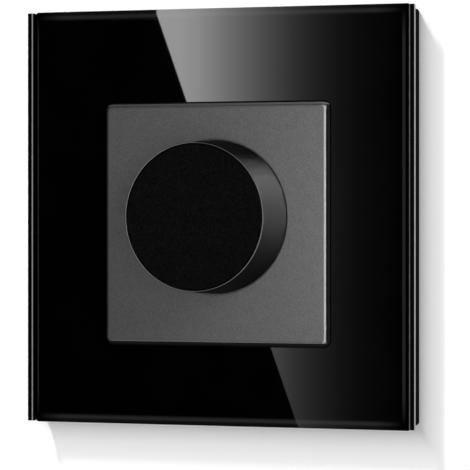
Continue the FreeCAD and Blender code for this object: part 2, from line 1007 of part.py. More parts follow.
def housing_rear():
    """Rear shell: a cup with four screw posts, vents and a notch for the terminal block."""
    outside = housing_outline(0, (housing_rear_out, housing_join_out))
    doc.recompute()
    rounded = doc.addObject("Part::Fillet", "RoundedShell")
    rounded.Base = outside
    radius = min(housing_edge_round.number, housing_wall.number * 0.9)
    rear_edges = []
    for index, edge in enumerate(outside.Shape.Edges):
        if near(edge.BoundBox.YMin, -housing_rear_out.number) and near(edge.BoundBox.YMax, -housing_rear_out.number):
            rear_edges.append((index + 1, radius, radius))
    rounded.Edges = rear_edges
    cavity = housing_outline(housing_wall, (housing_floor_out, housing_join_out))
    posts = []
    pilots = []
    pilot_depth = housing_screw_length - support_thickness + running_gap
    for x, up in post_places():
        posts.append(rod(post_shoulder_radius, (housing_floor_out, board_back), x, up))
        posts.append(rod(post_radius, (housing_floor_out, housing_join_out), x, up))
        pilots.append(rod(housing_screw_radius + running_gap, (-pilot_depth, housing_join_out), x, up))
    inner_posts = common(join(posts), housing_outline(housing_wall / 2, (housing_floor_out, housing_join_out)))
    shell = join([cut(rounded, [cavity]), inner_posts])
    notch_half = terminal_half_width + loose_gap
    notch_up = (-housing_radius * 1.2, loose_gap - terminal_top_down)
    tools = pilots + [block((-notch_half, notch_half), notch_up, (housing_rear_out, board_back + loose_gap))]
    for step in range(-2, 3):
        vent_up = (sink_low + loose_gap, sink_low + loose_gap + vent_length)
        tools.append(block(span(vent_pitch * step, vent_width / 2), vent_up, (housing_rear_out, housing_floor_out)))
    return cut(shell, tools)


def slotted_screw(x, up, head_radius, head_out, shank_radius, shank_end, crossed=False):
    """A screw along the knob's direction, its head between two depths; the slot is at the free face."""
    low, high = head_out
    towards_room = shank_end.number < low.number
    slot_out = (high - driver_slot_depth, high) if towards_room else (low, low + driver_slot_depth)
    shank_out = (shank_end, low) if towards_room else (high, shank_end)
    solid = join([rod(head_radius, (low, high), x, up), rod(shank_radius, shank_out, x, up)])
    reach = head_radius * (0.62 if crossed else 1.2)
    slots = [block(span(x, reach), span(up, driver_slot_width / 2), slot_out)]
    if crossed:
        slots.append(block(span(x, driver_slot_width / 2), span(up, reach), slot_out))
    return cut(solid, slots)


def housing_screws():
    head = (support_thickness, support_thickness + housing_screw_head_height)
    end = support_thickness - housing_screw_length
    screws = []
    for x, up in post_places():
        screw = slotted_screw(x, up, housing_screw_head_radius, head, housing_screw_radius, end, crossed=True)
        screws.append(screw)
    return group(screws)


# Potentiometer


def pot_case():
    """Cup of the potentiometer, with its terminal wafer and the stop for the rotor's lug."""
    whole = (pot_back, pot_front)
    inside = (pot_back + pot_floor, pot_front)
    cup = cut(rod(pot_radius, whole), [rod(pot_radius - pot_wall, inside)])
    wafer = block(span(0, wafer_width / 2), (-wafer_reach, -stop_inner_radius), (pot_back, pot_back + pot_floor))
    stop_up = (pot_wall / 2 - pot_radius, -stop_inner_radius)
    stop = block(span(0, stop_width / 2), stop_up, (pot_back + pot_floor / 2, rotor_front))
    stop = common(stop, rod(pot_radius - pot_wall / 2, whole))
    return cut(join([cup, wafer, stop]), [rod(rotor_pivot_radius + running_gap, whole)])


def resistive_track():
    start = pot_back + pot_floor
    return ring(track_outer_radius, track_inner_radius, (start, start + track_thickness))


def rotor():
    """Rotor on the spigot: disc with lug, front hub, and a pivot in the case's floor."""
    disc = rod(rotor_radius, (rotor_back, rotor_front))
    hub = rod(rotor_hub_radius, (rotor_front, hub_front))
    pivot = rod(rotor_pivot_radius, (pot_back, rotor_back))
    lug = block(span(0, rotor_lug_width / 2), (rotor_hub_radius, rotor_lug_reach), (rotor_back, rotor_front))
    flat_up = spigot_radius - spigot_flat_cut + running_gap
    bore = flat_bore(spigot_radius + running_gap, flat_up, (pot_back, hub_front))
    return cut(join([disc, hub, pivot, lug]), [bore])


def wiper():
    """Contact ring on the rotor, with a finger that runs just above the track."""
    inner = rotor_pivot_radius + running_gap * 2
    outer = (track_inner_radius + track_outer_radius) / 2
    contact = ring(outer, inner, (rotor_back - wiper_thickness, rotor_back))
    tip_out = pot_back + pot_floor + track_thickness + running_gap
    finger_up = (track_inner_radius, track_outer_radius - running_gap)
    finger = block(span(0, wiper_finger_width / 2), finger_up, (tip_out, rotor_back))
    return join([contact, finger])


def pot_terminals():
    """Three pins from the wafer through the board."""
    wafer_front = pot_back + pot_floor
    outer = -wafer_reach - running_gap
    pins = []
    for step in (-1, 0, 1):
        across = span(pot_pin_pitch * step, pot_pin_width / 2)
        foot = block(across, (outer - pin_thickness, -pot_radius - loose_gap), (wafer_front, wafer_front + pin_thickness))
        pin_out = (board_back - pin_past_board, wafer_front + pin_thickness)
        pins.append(join([foot, block(across, (outer - pin_thickness, outer), pin_out)]))
    return group(pins)


# Circuit board and push switch


def blade_places():
    inner = bridge_length / 2 + blade_gap
    return [(side, span(side * (inner + blade_thickness / 2), blade_thickness / 2)) for side in (-1, 1)]


def blade_slots(out):
    slots = []
    for side, across in blade_places():
        slots.append(block((across[0] - thread_gap, across[1] + thread_gap), span(0, bridge_width * 0.65), out))
    return slots


def leg_places():
    return [leg_pitch * step for step in (-1, 0, 1)]


def film_lead_ups():
    return [film_height * share - film_low for share in (0.2, 0.8)]


def film_lead_across():
    return film_left + film_lead_inset


def circuit_board():
    """Board that rests on the posts' shoulders, with holes for posts, shaft and pins."""
    whole = (board_back, board_front)
    inset = housing_wall + board_play
    plate = housing_outline(inset, whole)
    tools = [rod(spigot_radius + loose_gap * 2, whole)]
    for x, up in post_places():
        tools.append(rod(post_radius + board_play, whole, x, up))
    pin_up = -wafer_reach - running_gap - pin_thickness / 2
    for step in (-1, 0, 1):
        tools.append(rod(pin_hole_radius, whole, pot_pin_pitch * step, pin_up))
    for x in leg_places():
        tools.append(rod(pin_hole_radius, whole, x, triac_low - leg_reach + leg_thickness / 2))
    for up in film_lead_ups():
        tools.append(rod(lead_radius + thread_gap, whole, film_lead_across(), up))
    return cut(plate, tools + blade_slots(whole))


def switch_case():
    """Closed case of the push switch on the back of the board."""
    inside_half = switch_half - switch_wall
    front_wall = (board_back - switch_wall, board_back)
    inside = (switch_floor, board_back - switch_wall)
    shell = block(span(0, switch_half), span(0, switch_half), (switch_back, board_back))
    tools = [block(span(0, inside_half), span(0, inside_half), inside)]
    tools.append(rod(plunger_radius + loose_gap, front_wall))
    return cut(shell, tools + blade_slots(front_wall))


def switch_plunger():
    stem = rod(plunger_radius, (plunger_block_front, plunger_front))
    across = span(0, plunger_block_width / 2)
    carrier = block(across, span(0, plunger_block_height / 2), (plunger_block_back, plunger_block_front))
    pin = rod(guide_pin_radius, (guide_pin_back, plunger_block_back))
    return join([stem, carrier, pin])


def contact_bridge():
    whole = (bridge_back, plunger_block_back)
    strip = block(span(0, bridge_length / 2), span(0, bridge_width / 2), whole)
    ends = rod(guide_pin_radius + spring_wire, whole)
    return cut(join([strip, ends]), [rod(guide_pin_radius + running_gap, whole)])


def fixed_contacts():
    """Two contacts whose blades pass through the board."""
    contacts = []
    pad_out = (contact_front - contact_thickness, contact_front)
    blade_out = (contact_front - contact_thickness, board_front - loose_gap)
    up = span(0, bridge_width / 2)
    for side, across in blade_places():
        pad_end = side * (bridge_length / 2 - contact_pad)
        pad_across = (pad_end, across[1]) if side > 0 else (across[0], pad_end)
        contacts.append(join([block(pad_across, up, pad_out), block(across, up, blade_out)]))
    return group(contacts)


def plunger_spring():
    """Compression spring between the plunger and the case."""
    wire_radius = spring_wire.number / 2
    radius = spring_radius.number
    start = -switch_floor.number - wire_radius * 1.1
    end = -bridge_back.number + wire_radius * 1.1
    pitch = (start - end) / spring_turns
    path = Part.makeHelix(pitch, start - end, radius)
    corners = []
    for step in range(wire_sides + 1):
        angle = 2 * math.pi * step / wire_sides
        corners.append(Vector(radius + wire_radius * math.cos(angle), 0, wire_radius * math.sin(angle)))
    section = Part.makePolygon(corners)
    solid = Part.Wire(path.Edges).makePipeShell([section], True, True)
    spring = doc.addObject("Part::Feature", "Spring")
    spring.Shape = solid
    spring.Placement = Placement(Vector(0, start, 0), FACING_OUT)
    return spring


# Parts on the back of the board


def heat_sink():
    depth = (housing_floor_out + board_play, housing_floor_out + board_play + sink_thickness)
    plate = block(span(0, sink_half_width), (sink_low, sink_low + sink_height), depth)
    hole_up = triac_low + triac_height + tab_hole_up
    return cut(plate, [rod(sink_screw_radius + running_gap, depth, 0, hole_up)])


def triac():
    """Power switch: moulded body, metal tab and three legs to the board."""
    sink_front = housing_floor_out + board_play + sink_thickness
    top = triac_low + triac_height
    package = block(span(0, triac_half_width), (triac_low, top), (sink_front, sink_front + triac_thickness))
    tab = block(span(0, triac_half_width), (top, top + tab_height), (sink_front, sink_front + tab_thickness))
    leg_out = sink_front + triac_thickness / 2
    solids = [package, tab]
    for x in leg_places():
        across = span(x, leg_width / 2)
        low = triac_low - leg_reach
        solids.append(block(across, (low, triac_low), (leg_out, leg_out + leg_thickness)))
        solids.append(block(across, (low, low + leg_thickness), (leg_out, board_front + loose_gap)))
    hole = rod(sink_screw_radius + running_gap, (sink_front, sink_front + tab_thickness), 0, top + tab_hole_up)
    return cut(join(solids), [hole])


def heat_sink_screw():
    sink_back = housing_floor_out + board_play
    tab_front = sink_back + sink_thickness + tab_thickness
    head = (tab_front, tab_front + sink_screw_head_height)
    up = triac_low + triac_height + tab_hole_up
    return slotted_screw(as_size(0), up, sink_screw_head_radius, head, sink_screw_radius, sink_back)


def choke_depth():
    front = board_back - loose_gap - choke_wire - running_gap
    return (front - choke_height, front)


def choke_core():
    return ring(choke_outer_radius, choke_inner_radius, choke_depth(), -choke_across, choke_up)


def choke_winding():
    """Turns of wire, each a closed loop around the core's section."""
    back, front = [depth.number for depth in choke_depth()]
    gap = running_gap.number
    wire = choke_wire.number
    inner = choke_inner_radius.number - gap
    outer = choke_outer_radius.number + gap
    height = front - back + gap * 2
    loops = []
    choke_turns = int(2 * math.pi * (inner - wire) / choke_turn_pitch.number)
    for turn in range(choke_turns):
        loop = Part.makeBox(outer - inner + wire * 2, wire, height + wire * 2, Vector(inner - wire, -wire / 2, -wire))
        hole = Part.makeBox(outer - inner, wire, height, Vector(inner, -wire / 2, 0))
        solid = loop.cut(hole)
        solid.rotate(Vector(0, 0, 0), Vector(0, 0, 1), 360.0 / choke_turns * turn)
        loops.append(solid)
    winding = doc.addObject("Part::Feature", "Winding")
    winding.Shape = Part.makeCompound(loops)
    winding.Placement = Placement(Vector(-choke_across.number, gap - back, choke_up.number), FACING_OUT)
    return winding


def film_capacitor():
    front = board_back - loose_gap
    case = block((film_left, film_left + film_width), (-film_low, film_height - film_low), (front - film_depth, front))
    leads = []
    for up in film_lead_ups():
        leads.append(rod(lead_radius, (front - loose_gap, board_front + loose_gap), film_lead_across(), up))
    return join([case] + leads)


# Parts on the front of the board


def electrolytic_capacitor():
    return rod(can_radius, (board_front, board_front + can_height), -can_across, can_up)


def control_chip():
    back = board_front + pin_thickness
    middle = chip_left + chip_width / 2
    body = block(span(middle, chip_width / 2), span(0, chip_height / 2), (back, back + chip_thickness))
    solids = [body]
    foot_out = (board_front, back + chip_pin_width)
    reach = chip_width / 2 + chip_pin_reach
    for index in range(chip_pins_per_side):
        up = chip_pin_pitch * (index - (chip_pins_per_side - 1) / 2)
        solids.append(block(span(middle, reach), span(up, chip_pin_width / 2), foot_out))
    return join(solids)


def resistors():
    """Axial resistors with leads bent to the board."""
    out = board_front + resistor_radius + loose_gap
    middle = resistor_length / 2 - resistor_left
    lowest = housing_radius - housing_wall - resistor_foot_gap
    row_room = lowest - wafer_reach - resistor_pot_gap
    row_count = int(row_room.number / resistor_pitch.number) + 1
    pieces = []
    for index in range(row_count):
        up = resistor_pitch * index - lowest
        solids = [rod_across(resistor_radius, span(middle, resistor_length / 2), up, out)]
        solids.append(rod_across(lead_radius, span(middle, resistor_lead_span / 2), up, out))
        for side in (-1, 1):
            end = middle + side * (resistor_lead_span / 2 - lead_radius)
            solids.append(rod(lead_radius * 0.9, (board_front, out), end, up))
        pieces.append(join(solids))
    return group(pieces)


def fuse_out():
    return board_front + fuse_radius + fuse_clip_wall


def fuse():
    return rod_across(fuse_radius, span(0, fuse_length / 2), fuse_up, fuse_out())


def fuse_clips():
    """Two spring clips that grip the fuse's caps from the board's side."""
    clips = []
    half = fuse_radius + fuse_clip_wall
    for side in (-1, 1):
        across = span(side * fuse_clip_across, fuse_clip_width / 2)
        clip = block(across, span(fuse_up, half), (board_front, fuse_out() + fuse_radius / 2))
        clips.append(cut(clip, [rod_across(fuse_radius + running_gap, across, fuse_up, fuse_out())]))
    return group(clips)


def trimmer_body():
    half = trimmer_side / 2
    front = board_front + trimmer_height
    case = block(span(trimmer_across, half), span(-trimmer_down, half), (board_front, front))
    bore = (front - trimmer_rotor_seat, front)
    return cut(case, [rod(trimmer_rotor_radius + running_gap, bore, trimmer_across, -trimmer_down)])


def trimmer_rotor():
    """Rotor of the trimmer, which a screwdriver reaches through the housing's front."""
    front = -trimmer_below_front
    back = board_front + trimmer_height - trimmer_rotor_seat
    body = rod(trimmer_rotor_radius, (back, front), trimmer_across, -trimmer_down)
    slot = block(
        span(trimmer_across, driver_slot_width / 2),
        span(-trimmer_down, trimmer_rotor_radius * 1.2),
        (front - driver_slot_depth, front),
    )
    return cut(body, [slot])


# Terminals


def terminal_places():
    return [terminal_pitch * (index - (terminal_count - 1) / 2) for index in range(terminal_count)]


def cage_span_up():
    low = -terminal_top_down - terminal_height + terminal_wall
    return (low + cage_play, -terminal_top_down - terminal_wall - cage_play)


def cage_depths():
    front = board_back - terminal_wall - cage_play
    return (front - cage_depth, front)


def terminal_block():
    """Block with three clamp chambers: screws from the rear, wires from below."""
    low = -terminal_top_down - terminal_height
    cage_up = cage_span_up()
    cage_up_middle = (cage_up[0] + cage_up[1]) / 2
    cage_back, cage_front = cage_depths()
    shell = block(span(0, terminal_half_width), (low, -terminal_top_down), (housing_rear_out, board_back))
    chamber_out = (cage_back - cage_play, cage_front + cage_play)
    tools = []
    for x in terminal_places():
        across = span(x, cage_width / 2 + cage_play)
        tools.append(block(across, (cage_up[0] - cage_play, cage_up[1] + cage_play), chamber_out))
        shaft_hole = (housing_rear_out, cage_back - cage_play)
        tools.append(rod(terminal_screw_head_radius + cage_play, shaft_hole, x, cage_up_middle))
        wire_out = (cage_back + cage_rear_wall + cage_front - cage_wall) / 2
        tools.append(rod_upright(wire_hole_radius, (low, cage_up[0] - cage_play), x, wire_out))
    return cut(shell, tools)


def terminal_cages():
    """Brass clamps, open at the bottom and top for the wire."""
    up = cage_span_up()
    back, front = cage_depths()
    cages = []
    for x in terminal_places():
        body = block(span(x, cage_width / 2), up, (back, front))
        mouth = block(span(x, cage_width / 2 - cage_wall), up, (back + cage_rear_wall, front - cage_wall))
        hole_out = (back, back + cage_rear_wall)
        thread = rod(terminal_screw_radius + thread_gap, hole_out, x, (up[0] + up[1]) / 2)
        cages.append(cut(body, [mouth, thread]))
    return group(cages)


def terminal_screws():
    up = cage_span_up()
    middle = (up[0] + up[1]) / 2
    cage_back = cage_depths()[0]
    head_front = cage_back - terminal_screw_neck
    head = (head_front - terminal_screw_head_height, head_front)
    end = cage_back + cage_rear_wall + terminal_screw_reach
    screws = []
    for x in terminal_places():
        screws.append(slotted_screw(x, middle, terminal_screw_head_radius, head, terminal_screw_radius, end))
    return group(screws)


# Spreading claws


def claw():
    """Right-hand claw: two toothed arms on the pivot pin, joined by the bridge that the screw draws forward."""
    inner = claw_pivot_across - claw_arm_margin
    outer = claw_pivot_across + claw_arm_margin
    top = claw_arm_margin - claw_pivot_in
    bridge_top = -claw_pivot_in - claw_bridge_below
    bridge_bottom = bridge_top - claw_sheet
    reach = claw_pivot_across + claw_bridge_reach
    tip = outer + claw_tooth
    end = -claw_pivot_in - claw_arm_length
    outline = [
        (inner, top),
        (outer, top),
        (outer, bridge_top),
        (reach, bridge_top),
        (reach, bridge_bottom),
        (outer, bridge_bottom),
        (outer, end + claw_tooth_depth * 2),
        (tip, end + claw_tooth_depth),
        (tip, end),
        (inner, end),
    ]
    body = new_body("claw")
    width = claw_arm_gap + claw_sheet * 2
    arms = new_sketch(body, "XY_Plane")
    draw_polygon(arms, [(x, -out) for x, out in outline])
    pad(body, arms, width, midplane=True)
    half_gap = span(0, claw_arm_gap / 2)
    behind = block((inner, tip), half_gap, (end, bridge_bottom))
    ahead = block((inner, reach), half_gap, (bridge_top, top))
    beside = block((inner, outer), half_gap, (bridge_bottom, bridge_top))
    screw_hole = rod(claw_screw_radius + claw_screw_hole_gap, (bridge_bottom, bridge_top), claw_screw_across, 0)
    pin_hole = rod_upright(claw_pin_radius + running_gap, span(0, width / 2), claw_pivot_across, -claw_pivot_in)
    return cut(body, [behind, ahead, beside, screw_hole, pin_hole])


def claw_screw(side):
    head = (support_thickness, support_thickness + claw_screw_head_height)
    end = support_thickness - claw_screw_length
    return slotted_screw(
        side * claw_screw_across, as_size(0), claw_screw_head_radius, head, claw_screw_radius, end, crossed=True
    )


def claw_pins():
    half = claw_arm_gap / 2 + claw_sheet * 2 + ear_gap
    up = span(0, half)
    return group([rod_upright(claw_pin_radius, up, side * claw_pivot_across, -claw_pivot_in) for side in (-1, 1)])


# The whole dimmer

node("glass_panel", glass_panel())
right_rail = node("right_side_rail", side_rail())
node("left_side_rail", mirrored(right_rail))
node("carrier_frame", carrier_frame())
node("base_frame", base_frame())
node("centre_plate", centre_plate())
node("knob", knob())
node("knob_face", knob_face())
node("knob_spring_clip", knob_spring_clip())
node("shaft", shaft())
node("retaining_ring", retaining_ring())
node("bushing", bushing())
node("plate_nut", plate_nut())
node("lock_washer", lock_washer())
node("bushing_nut", bushing_nut())
node("support_plate", support_plate())
node("housing_front", housing_front())
node("housing_rear", housing_rear())
node("housing_screws", housing_screws())
node("pot_case", pot_case())
node("resistive_track", resistive_track())
node("rotor", rotor())
node("wiper", wiper())
node("pot_terminals", pot_terminals())
node("circuit_board", circuit_board())
node("switch_case", switch_case())
node("switch_plunger", switch_plunger())
node("contact_bridge", contact_bridge())
node("fixed_contacts", fixed_contacts())
node("plunger_spring", plunger_spring())
node("heat_sink", heat_sink())
node("triac", triac())
node("heat_sink_screw", heat_sink_screw())
node("choke_core", choke_core())
node("choke_winding", choke_winding())
node("film_capacitor", film_capacitor())
node("electrolytic_capacitor", electrolytic_capacitor())
node("control_chip", control_chip())
node("resistors", resistors())
node("fuse", fuse())
node("fuse_clips", fuse_clips())
node("trimmer_body", trimmer_body())
node("trimmer_rotor", trimmer_rotor())
node("terminal_block", terminal_block())
node("terminal_cages", terminal_cages())
node("terminal_screws", terminal_screws())
right_claw = node("right_claw", claw())
node("left_claw", mirrored(right_claw))
node("right_claw_screw", claw_screw(1))
node("left_claw_screw", claw_screw(-1))
node("claw_pins", claw_pins())
doc.recompute()

# Nothing is written unless every object is sound
for item in doc.Objects:
    if "Invalid" in item.State or "Error" in item.State:
        raise ValueError(f"{item.Name} ({item.Label}) failed")
for item in nodes:
    if item.Shape.isNull() or not item.Shape.isValid() or not item.Shape.Solids:
        raise ValueError(f"{item.Label} is not a sound solid")

os.makedirs("parts", exist_ok=True)
for item in nodes:
    item.Shape.exportStep(f"parts/{item.Label}.step")
    print(f"{item.Label}: {len(item.Shape.Solids)} solids, {item.Shape.Volume:.1f} mm3")
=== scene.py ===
# %% [markdown]
# # A rotary dimmer switch with a glass frame
#
# On the wall one sees a square of black glass, a dark-grey centre plate, a round knob and two thin aluminium
# rails. Behind them, in the wall, sits the insert that dims the lamp. This lesson gives them their finishes,
# adds the fine shapes that a construction model leaves out, and then sets up the studio.

import math

import bmesh
import bpy
from mathutils import Matrix, Vector


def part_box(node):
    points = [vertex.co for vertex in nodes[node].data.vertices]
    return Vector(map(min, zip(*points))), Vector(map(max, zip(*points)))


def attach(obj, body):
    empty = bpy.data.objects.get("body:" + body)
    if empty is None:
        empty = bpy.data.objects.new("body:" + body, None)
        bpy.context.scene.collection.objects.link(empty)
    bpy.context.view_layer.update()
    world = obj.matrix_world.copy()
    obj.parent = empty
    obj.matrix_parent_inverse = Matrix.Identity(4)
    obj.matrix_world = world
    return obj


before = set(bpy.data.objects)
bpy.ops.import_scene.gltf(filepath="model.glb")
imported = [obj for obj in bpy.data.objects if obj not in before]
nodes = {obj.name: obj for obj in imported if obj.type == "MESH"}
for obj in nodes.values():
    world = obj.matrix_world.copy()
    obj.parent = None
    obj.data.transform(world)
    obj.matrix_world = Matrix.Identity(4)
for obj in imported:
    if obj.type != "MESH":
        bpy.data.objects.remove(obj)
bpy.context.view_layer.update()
MM = 0.001

# %% [markdown]
# ## The camera
#
# The picture looks at the dimmer from its right, level with its middle, through a long lens. A camera is set
# by where it stands, where it looks and how long its lens is. Fitting those three to the corners of the glass
# gives about 23 degrees and 0.7 m. The lens's axis passes a little left of the picture's middle, and that is
# what a camera's shift is for: turning the camera instead would make the upright edges lean.

# %% Camera
PICTURE_SIDE = 470
SENSOR_WIDTH = 36.0
VIEW_AZIMUTH = math.radians(22.88)
VIEW_DISTANCE = 700 * MM
VIEW_TARGET_DEPTH = -5.5 * MM
FOCAL_PIXELS = 3411.3
AXIS_PIXEL_X = 216.5
AXIS_PIXEL_Y = 217.0
NEAREST_SEEN = 10 * MM
FARTHEST_SEEN = 20.0


def in_scene(name, data):
    """A new object in the scene, made from its data."""
    item = bpy.data.objects.new(name, data)
    bpy.context.scene.collection.objects.link(item)
    return item


towards_camera = Vector((math.sin(VIEW_AZIMUTH), -math.cos(VIEW_AZIMUTH), 0))
camera_place = Vector((0, VIEW_TARGET_DEPTH, 0)) + towards_camera * VIEW_DISTANCE

camera_data = bpy.data.cameras.new("picture_camera")
camera_data.sensor_width = SENSOR_WIDTH
camera_data.lens = FOCAL_PIXELS / PICTURE_SIDE * SENSOR_WIDTH
camera_data.shift_x = (PICTURE_SIDE / 2 - AXIS_PIXEL_X) / PICTURE_SIDE
camera_data.shift_y = (AXIS_PIXEL_Y - PICTURE_SIDE / 2) / PICTURE_SIDE
camera_data.clip_start = NEAREST_SEEN
camera_data.clip_end = FARTHEST_SEEN
camera = in_scene("picture_camera", camera_data)
camera.location = camera_place
camera.rotation_mode = "QUATERNION"
camera.rotation_quaternion = (-towards_camera).to_track_quat("-Z", "Y")
bpy.context.scene.camera = camera
print("lens", round(camera_data.lens), "mm, camera at", [round(value, 3) for value in camera_place])

# %% [markdown]
# ## Helpers for the finishes
#
# A finish here is a Principled shader with a few texture nodes before it. The first helpers add a node, do a
# sum on sockets, and turn a noise into a colour. A socket knows the node tree that it belongs to, as its
# `id_data`, so most helpers need no tree. All textures work on the piece's own coordinates in metres, so that
# a grain of 0.2 mm is a noise of 5000 waves per metre, on whichever piece it lies.

# %% Node helpers


def new_finish(name):
    """An empty material, its node tree and its Principled shader."""
    finish = bpy.data.materials.new(name)
    finish.use_nodes = True
    tree = finish.node_tree
    return finish, tree, tree.nodes["Principled BSDF"]


def add(tree, kind, **settings):
    """A new node with some of its settings."""
    node = tree.nodes.new(kind)
    for key, value in settings.items():
        setattr(node, key, value)
    return node


def feed(socket, value):
    """Set a socket to a number or a colour, or link another socket to it."""
    if isinstance(value, (int, float)):
        socket.default_value = value
    elif isinstance(value, tuple):
        socket.default_value = (*value, 1)
    else:
        socket.id_data.links.new(value, socket)


def sum_of(operation, *values):
    """A sum on numbers and sockets, named as Blender's Math node names it."""
    tree = next(value.id_data for value in values if isinstance(value, bpy.types.NodeSocket))
    node = add(tree, "ShaderNodeMath", operation=operation)
    for socket, value in zip(node.inputs, values):
        feed(socket, value)
    return node.outputs[0]


def place_of(tree):
    """The shaded point in the piece's own coordinates."""
    return add(tree, "ShaderNodeTexCoord").outputs["Object"]


def axes_of(vector):
    """The sockets X, Y and Z of a vector."""
    split = add(vector.id_data, "ShaderNodeSeparateXYZ")
    feed(split.inputs[0], vector)
    return split.outputs


def noise(place, waves, detail=3.0, roughness=0.55, stretch=None):
    """Noise between 0 and 1, with its waves per metre."""
    if stretch:
        mapping = add(place.id_data, "ShaderNodeMapping")
        mapping.inputs["Scale"].default_value = stretch
        feed(mapping.inputs["Vector"], place)
        place = mapping.outputs[0]
    node = add(place.id_data, "ShaderNodeTexNoise")
    node.inputs["Scale"].default_value = waves
    node.inputs["Detail"].default_value = detail
    node.inputs["Roughness"].default_value = roughness
    feed(node.inputs["Vector"], place)
    return node.outputs["Fac"]


def ramp(value, stops):
    """A colour ramp from pairs of a position and a grey or a colour."""
    node = add(value.id_data, "ShaderNodeValToRGB")
    elements = node.color_ramp.elements
    while len(elements) < len(stops):
        elements.new(0.5)
    for element, (position, colour) in zip(elements, stops):
        grey = isinstance(colour, (int, float))
        element.position = position
        element.color = (colour, colour, colour, 1) if grey else (*colour, 1)
    feed(node.inputs[0], value)
    return node.outputs["Color"]


def clouded(value, dark, light):
    """Two close colours, blended by a noise, whose values mostly lie between 0.3 and 0.7."""
    return ramp(value, [(0.3, dark), (0.7, light)])


def blend(factor, first, second):
    """Mix two colours; a factor of 1 gives the second."""
    node = add(factor.id_data, "ShaderNodeMix", data_type="RGBA")
    feed(node.inputs["Factor"], factor)
    feed(node.inputs[6], first)
    feed(node.inputs[7], second)
    return node.outputs[2]


print("node helpers are ready")

# %% [markdown]
# Many pieces show two materials in one solid, and masks tell them apart. A mask is 1 on its part of the piece
# and 0 elsewhere. It comes from the point's place or from the way the surface faces, so nothing has to be
# unwrapped. Two masks are joined by multiplying them.

# %% Helpers for masks and surfaces


def inverse(mask):
    """1 where a mask is 0, and 0 where it is 1."""
    return sum_of("SUBTRACT", 1.0, mask)


def both(first, second):
    """1 where two masks are both 1."""
    return sum_of("MULTIPLY", first, second)


def between(value, low, high):
    """1 where a value lies between two bounds, else 0."""
    middle = (low + high) / 2
    return sum_of("COMPARE", value, middle, (high - low) / 2)


def distance(first, second):
    """The distance from a centre, from the two distances along the axes."""
    square = sum_of("MULTIPLY", first, first)
    return sum_of("SQRT", sum_of("MULTIPLY_ADD", second, second, square))


def spread(value, low, high):
    """Stretch a value between 0 and 1 to the range from low to high."""
    return sum_of("MULTIPLY_ADD", value, high - low, low)


def mixture(first, second, share):
    """A share of the first value, and for the rest the second."""
    return sum_of("MULTIPLY_ADD", first, share, sum_of("MULTIPLY", second, 1 - share))


def surface(shader, colour, roughness, metal=0.0, specular=0.5):
    """Give a shader its colour, roughness, share of metal and reflectance."""
    feed(shader.inputs["Base Color"], colour)
    feed(shader.inputs["Roughness"], roughness)
    feed(shader.inputs["Metallic"], metal)
    feed(shader.inputs["Specular IOR Level"], specular)


def relief(shader, height, depth):
    """Bump the surface by a height between 0 and 1 times a depth in metres."""
    node = add(shader.id_data, "ShaderNodeBump")
    node.inputs["Strength"].default_value = 1.0
    node.inputs["Distance"].default_value = depth
    feed(node.inputs["Height"], height)
    feed(shader.inputs["Normal"], node.outputs[0])


def dress(finish, *names):
    """Give construction solids a finish."""
    for name in names:
        slots = nodes[name].data.materials
        slots.clear()
        slots.append(finish)


print("mask and surface helpers are ready")

# %% [markdown]
# ## The glass
#
# The real frame is clear glass, painted black behind, with a ground and polished edge that sinks gently over
# its last 2 mm. Clear glass over paint could be built as two solids. From outside it looks the same as one
# black, very smooth surface with glass's reflectance, and that has no noise and no dark fringes. This surface
# has two shines. The clear coat mirrors the room as flat glass does: wherever the surface faces more or less
# ahead, its normal is turned straight ahead. The layer below is bumped, with a height that falls towards the
# nearest edge, and its sheen shows near that edge only and fades towards the corners. It draws the soft line
# along the polished edge.

# %% Painted glass
GLASS_IOR = 1.5
GLASS_POLISH = 0.01
FALL_SIDES = 1.7 * MM
FALL_ENDS = 2.6 * MM
FALL_DEPTH = 0.42 * MM
FALL_CORNER_ROUND = 0.4
FALL_POWER = 2.0
EDGE_SHEEN = ((0.12, 0.0), (0.38, 0.5), (0.64, 0.5), (0.82, 0.0))
CORNER_FADE = 7.0 * MM
CORNER_STOPS = ((0.15, 0.0), (1.0, 1.0))
MORE_OR_LESS_AHEAD = -0.35
AHEAD = (0, -1, 0)
HAZE_WAVES = 60.0
PAINT_ROUGHNESS = (0.01, 0.03)
PAINT_BLACKS = (0.0004, 0.0009)

glass_low, glass_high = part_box("glass_panel")
glass_finish, tree, shader = new_finish("black_painted_glass")
place = place_of(tree)
at = axes_of(place)
from_side = sum_of("SUBTRACT", glass_high.x, sum_of("ABSOLUTE", at["X"]))
from_end = sum_of("SUBTRACT", glass_high.z, sum_of("ABSOLUTE", at["Z"]))
from_corner = sum_of("DIVIDE", sum_of("MAXIMUM", from_side, from_end), CORNER_FADE)
side_share = sum_of("DIVIDE", from_side, FALL_SIDES)
end_share = sum_of("DIVIDE", from_end, FALL_ENDS)
inside = sum_of("SMOOTH_MIN", side_share, end_share, FALL_CORNER_ROUND)
short_of_flat = sum_of("MAXIMUM", inverse(inside), 0.0)
relief(shader, inverse(sum_of("POWER", short_of_flat, FALL_POWER)), FALL_DEPTH)
haze = noise(place, HAZE_WAVES, detail=2.0)
sheen = both(ramp(inside, EDGE_SHEEN), ramp(from_corner, CORNER_STOPS))
rough = spread(haze, *PAINT_ROUGHNESS)
surface(shader, clouded(haze, *PAINT_BLACKS), rough, specular=sheen)
shader.inputs["Coat Weight"].default_value = 1.0
shader.inputs["Coat Roughness"].default_value = GLASS_POLISH
shader.inputs["Coat IOR"].default_value = GLASS_IOR
normal = add(tree, "ShaderNodeNewGeometry").outputs["Normal"]
flattened = add(tree, "ShaderNodeMix", data_type="VECTOR")
faces_ahead = sum_of("LESS_THAN", axes_of(normal)["Y"], MORE_OR_LESS_AHEAD)
feed(flattened.inputs["Factor"], faces_ahead)
feed(flattened.inputs[4], normal)
flattened.inputs[5].default_value = AHEAD
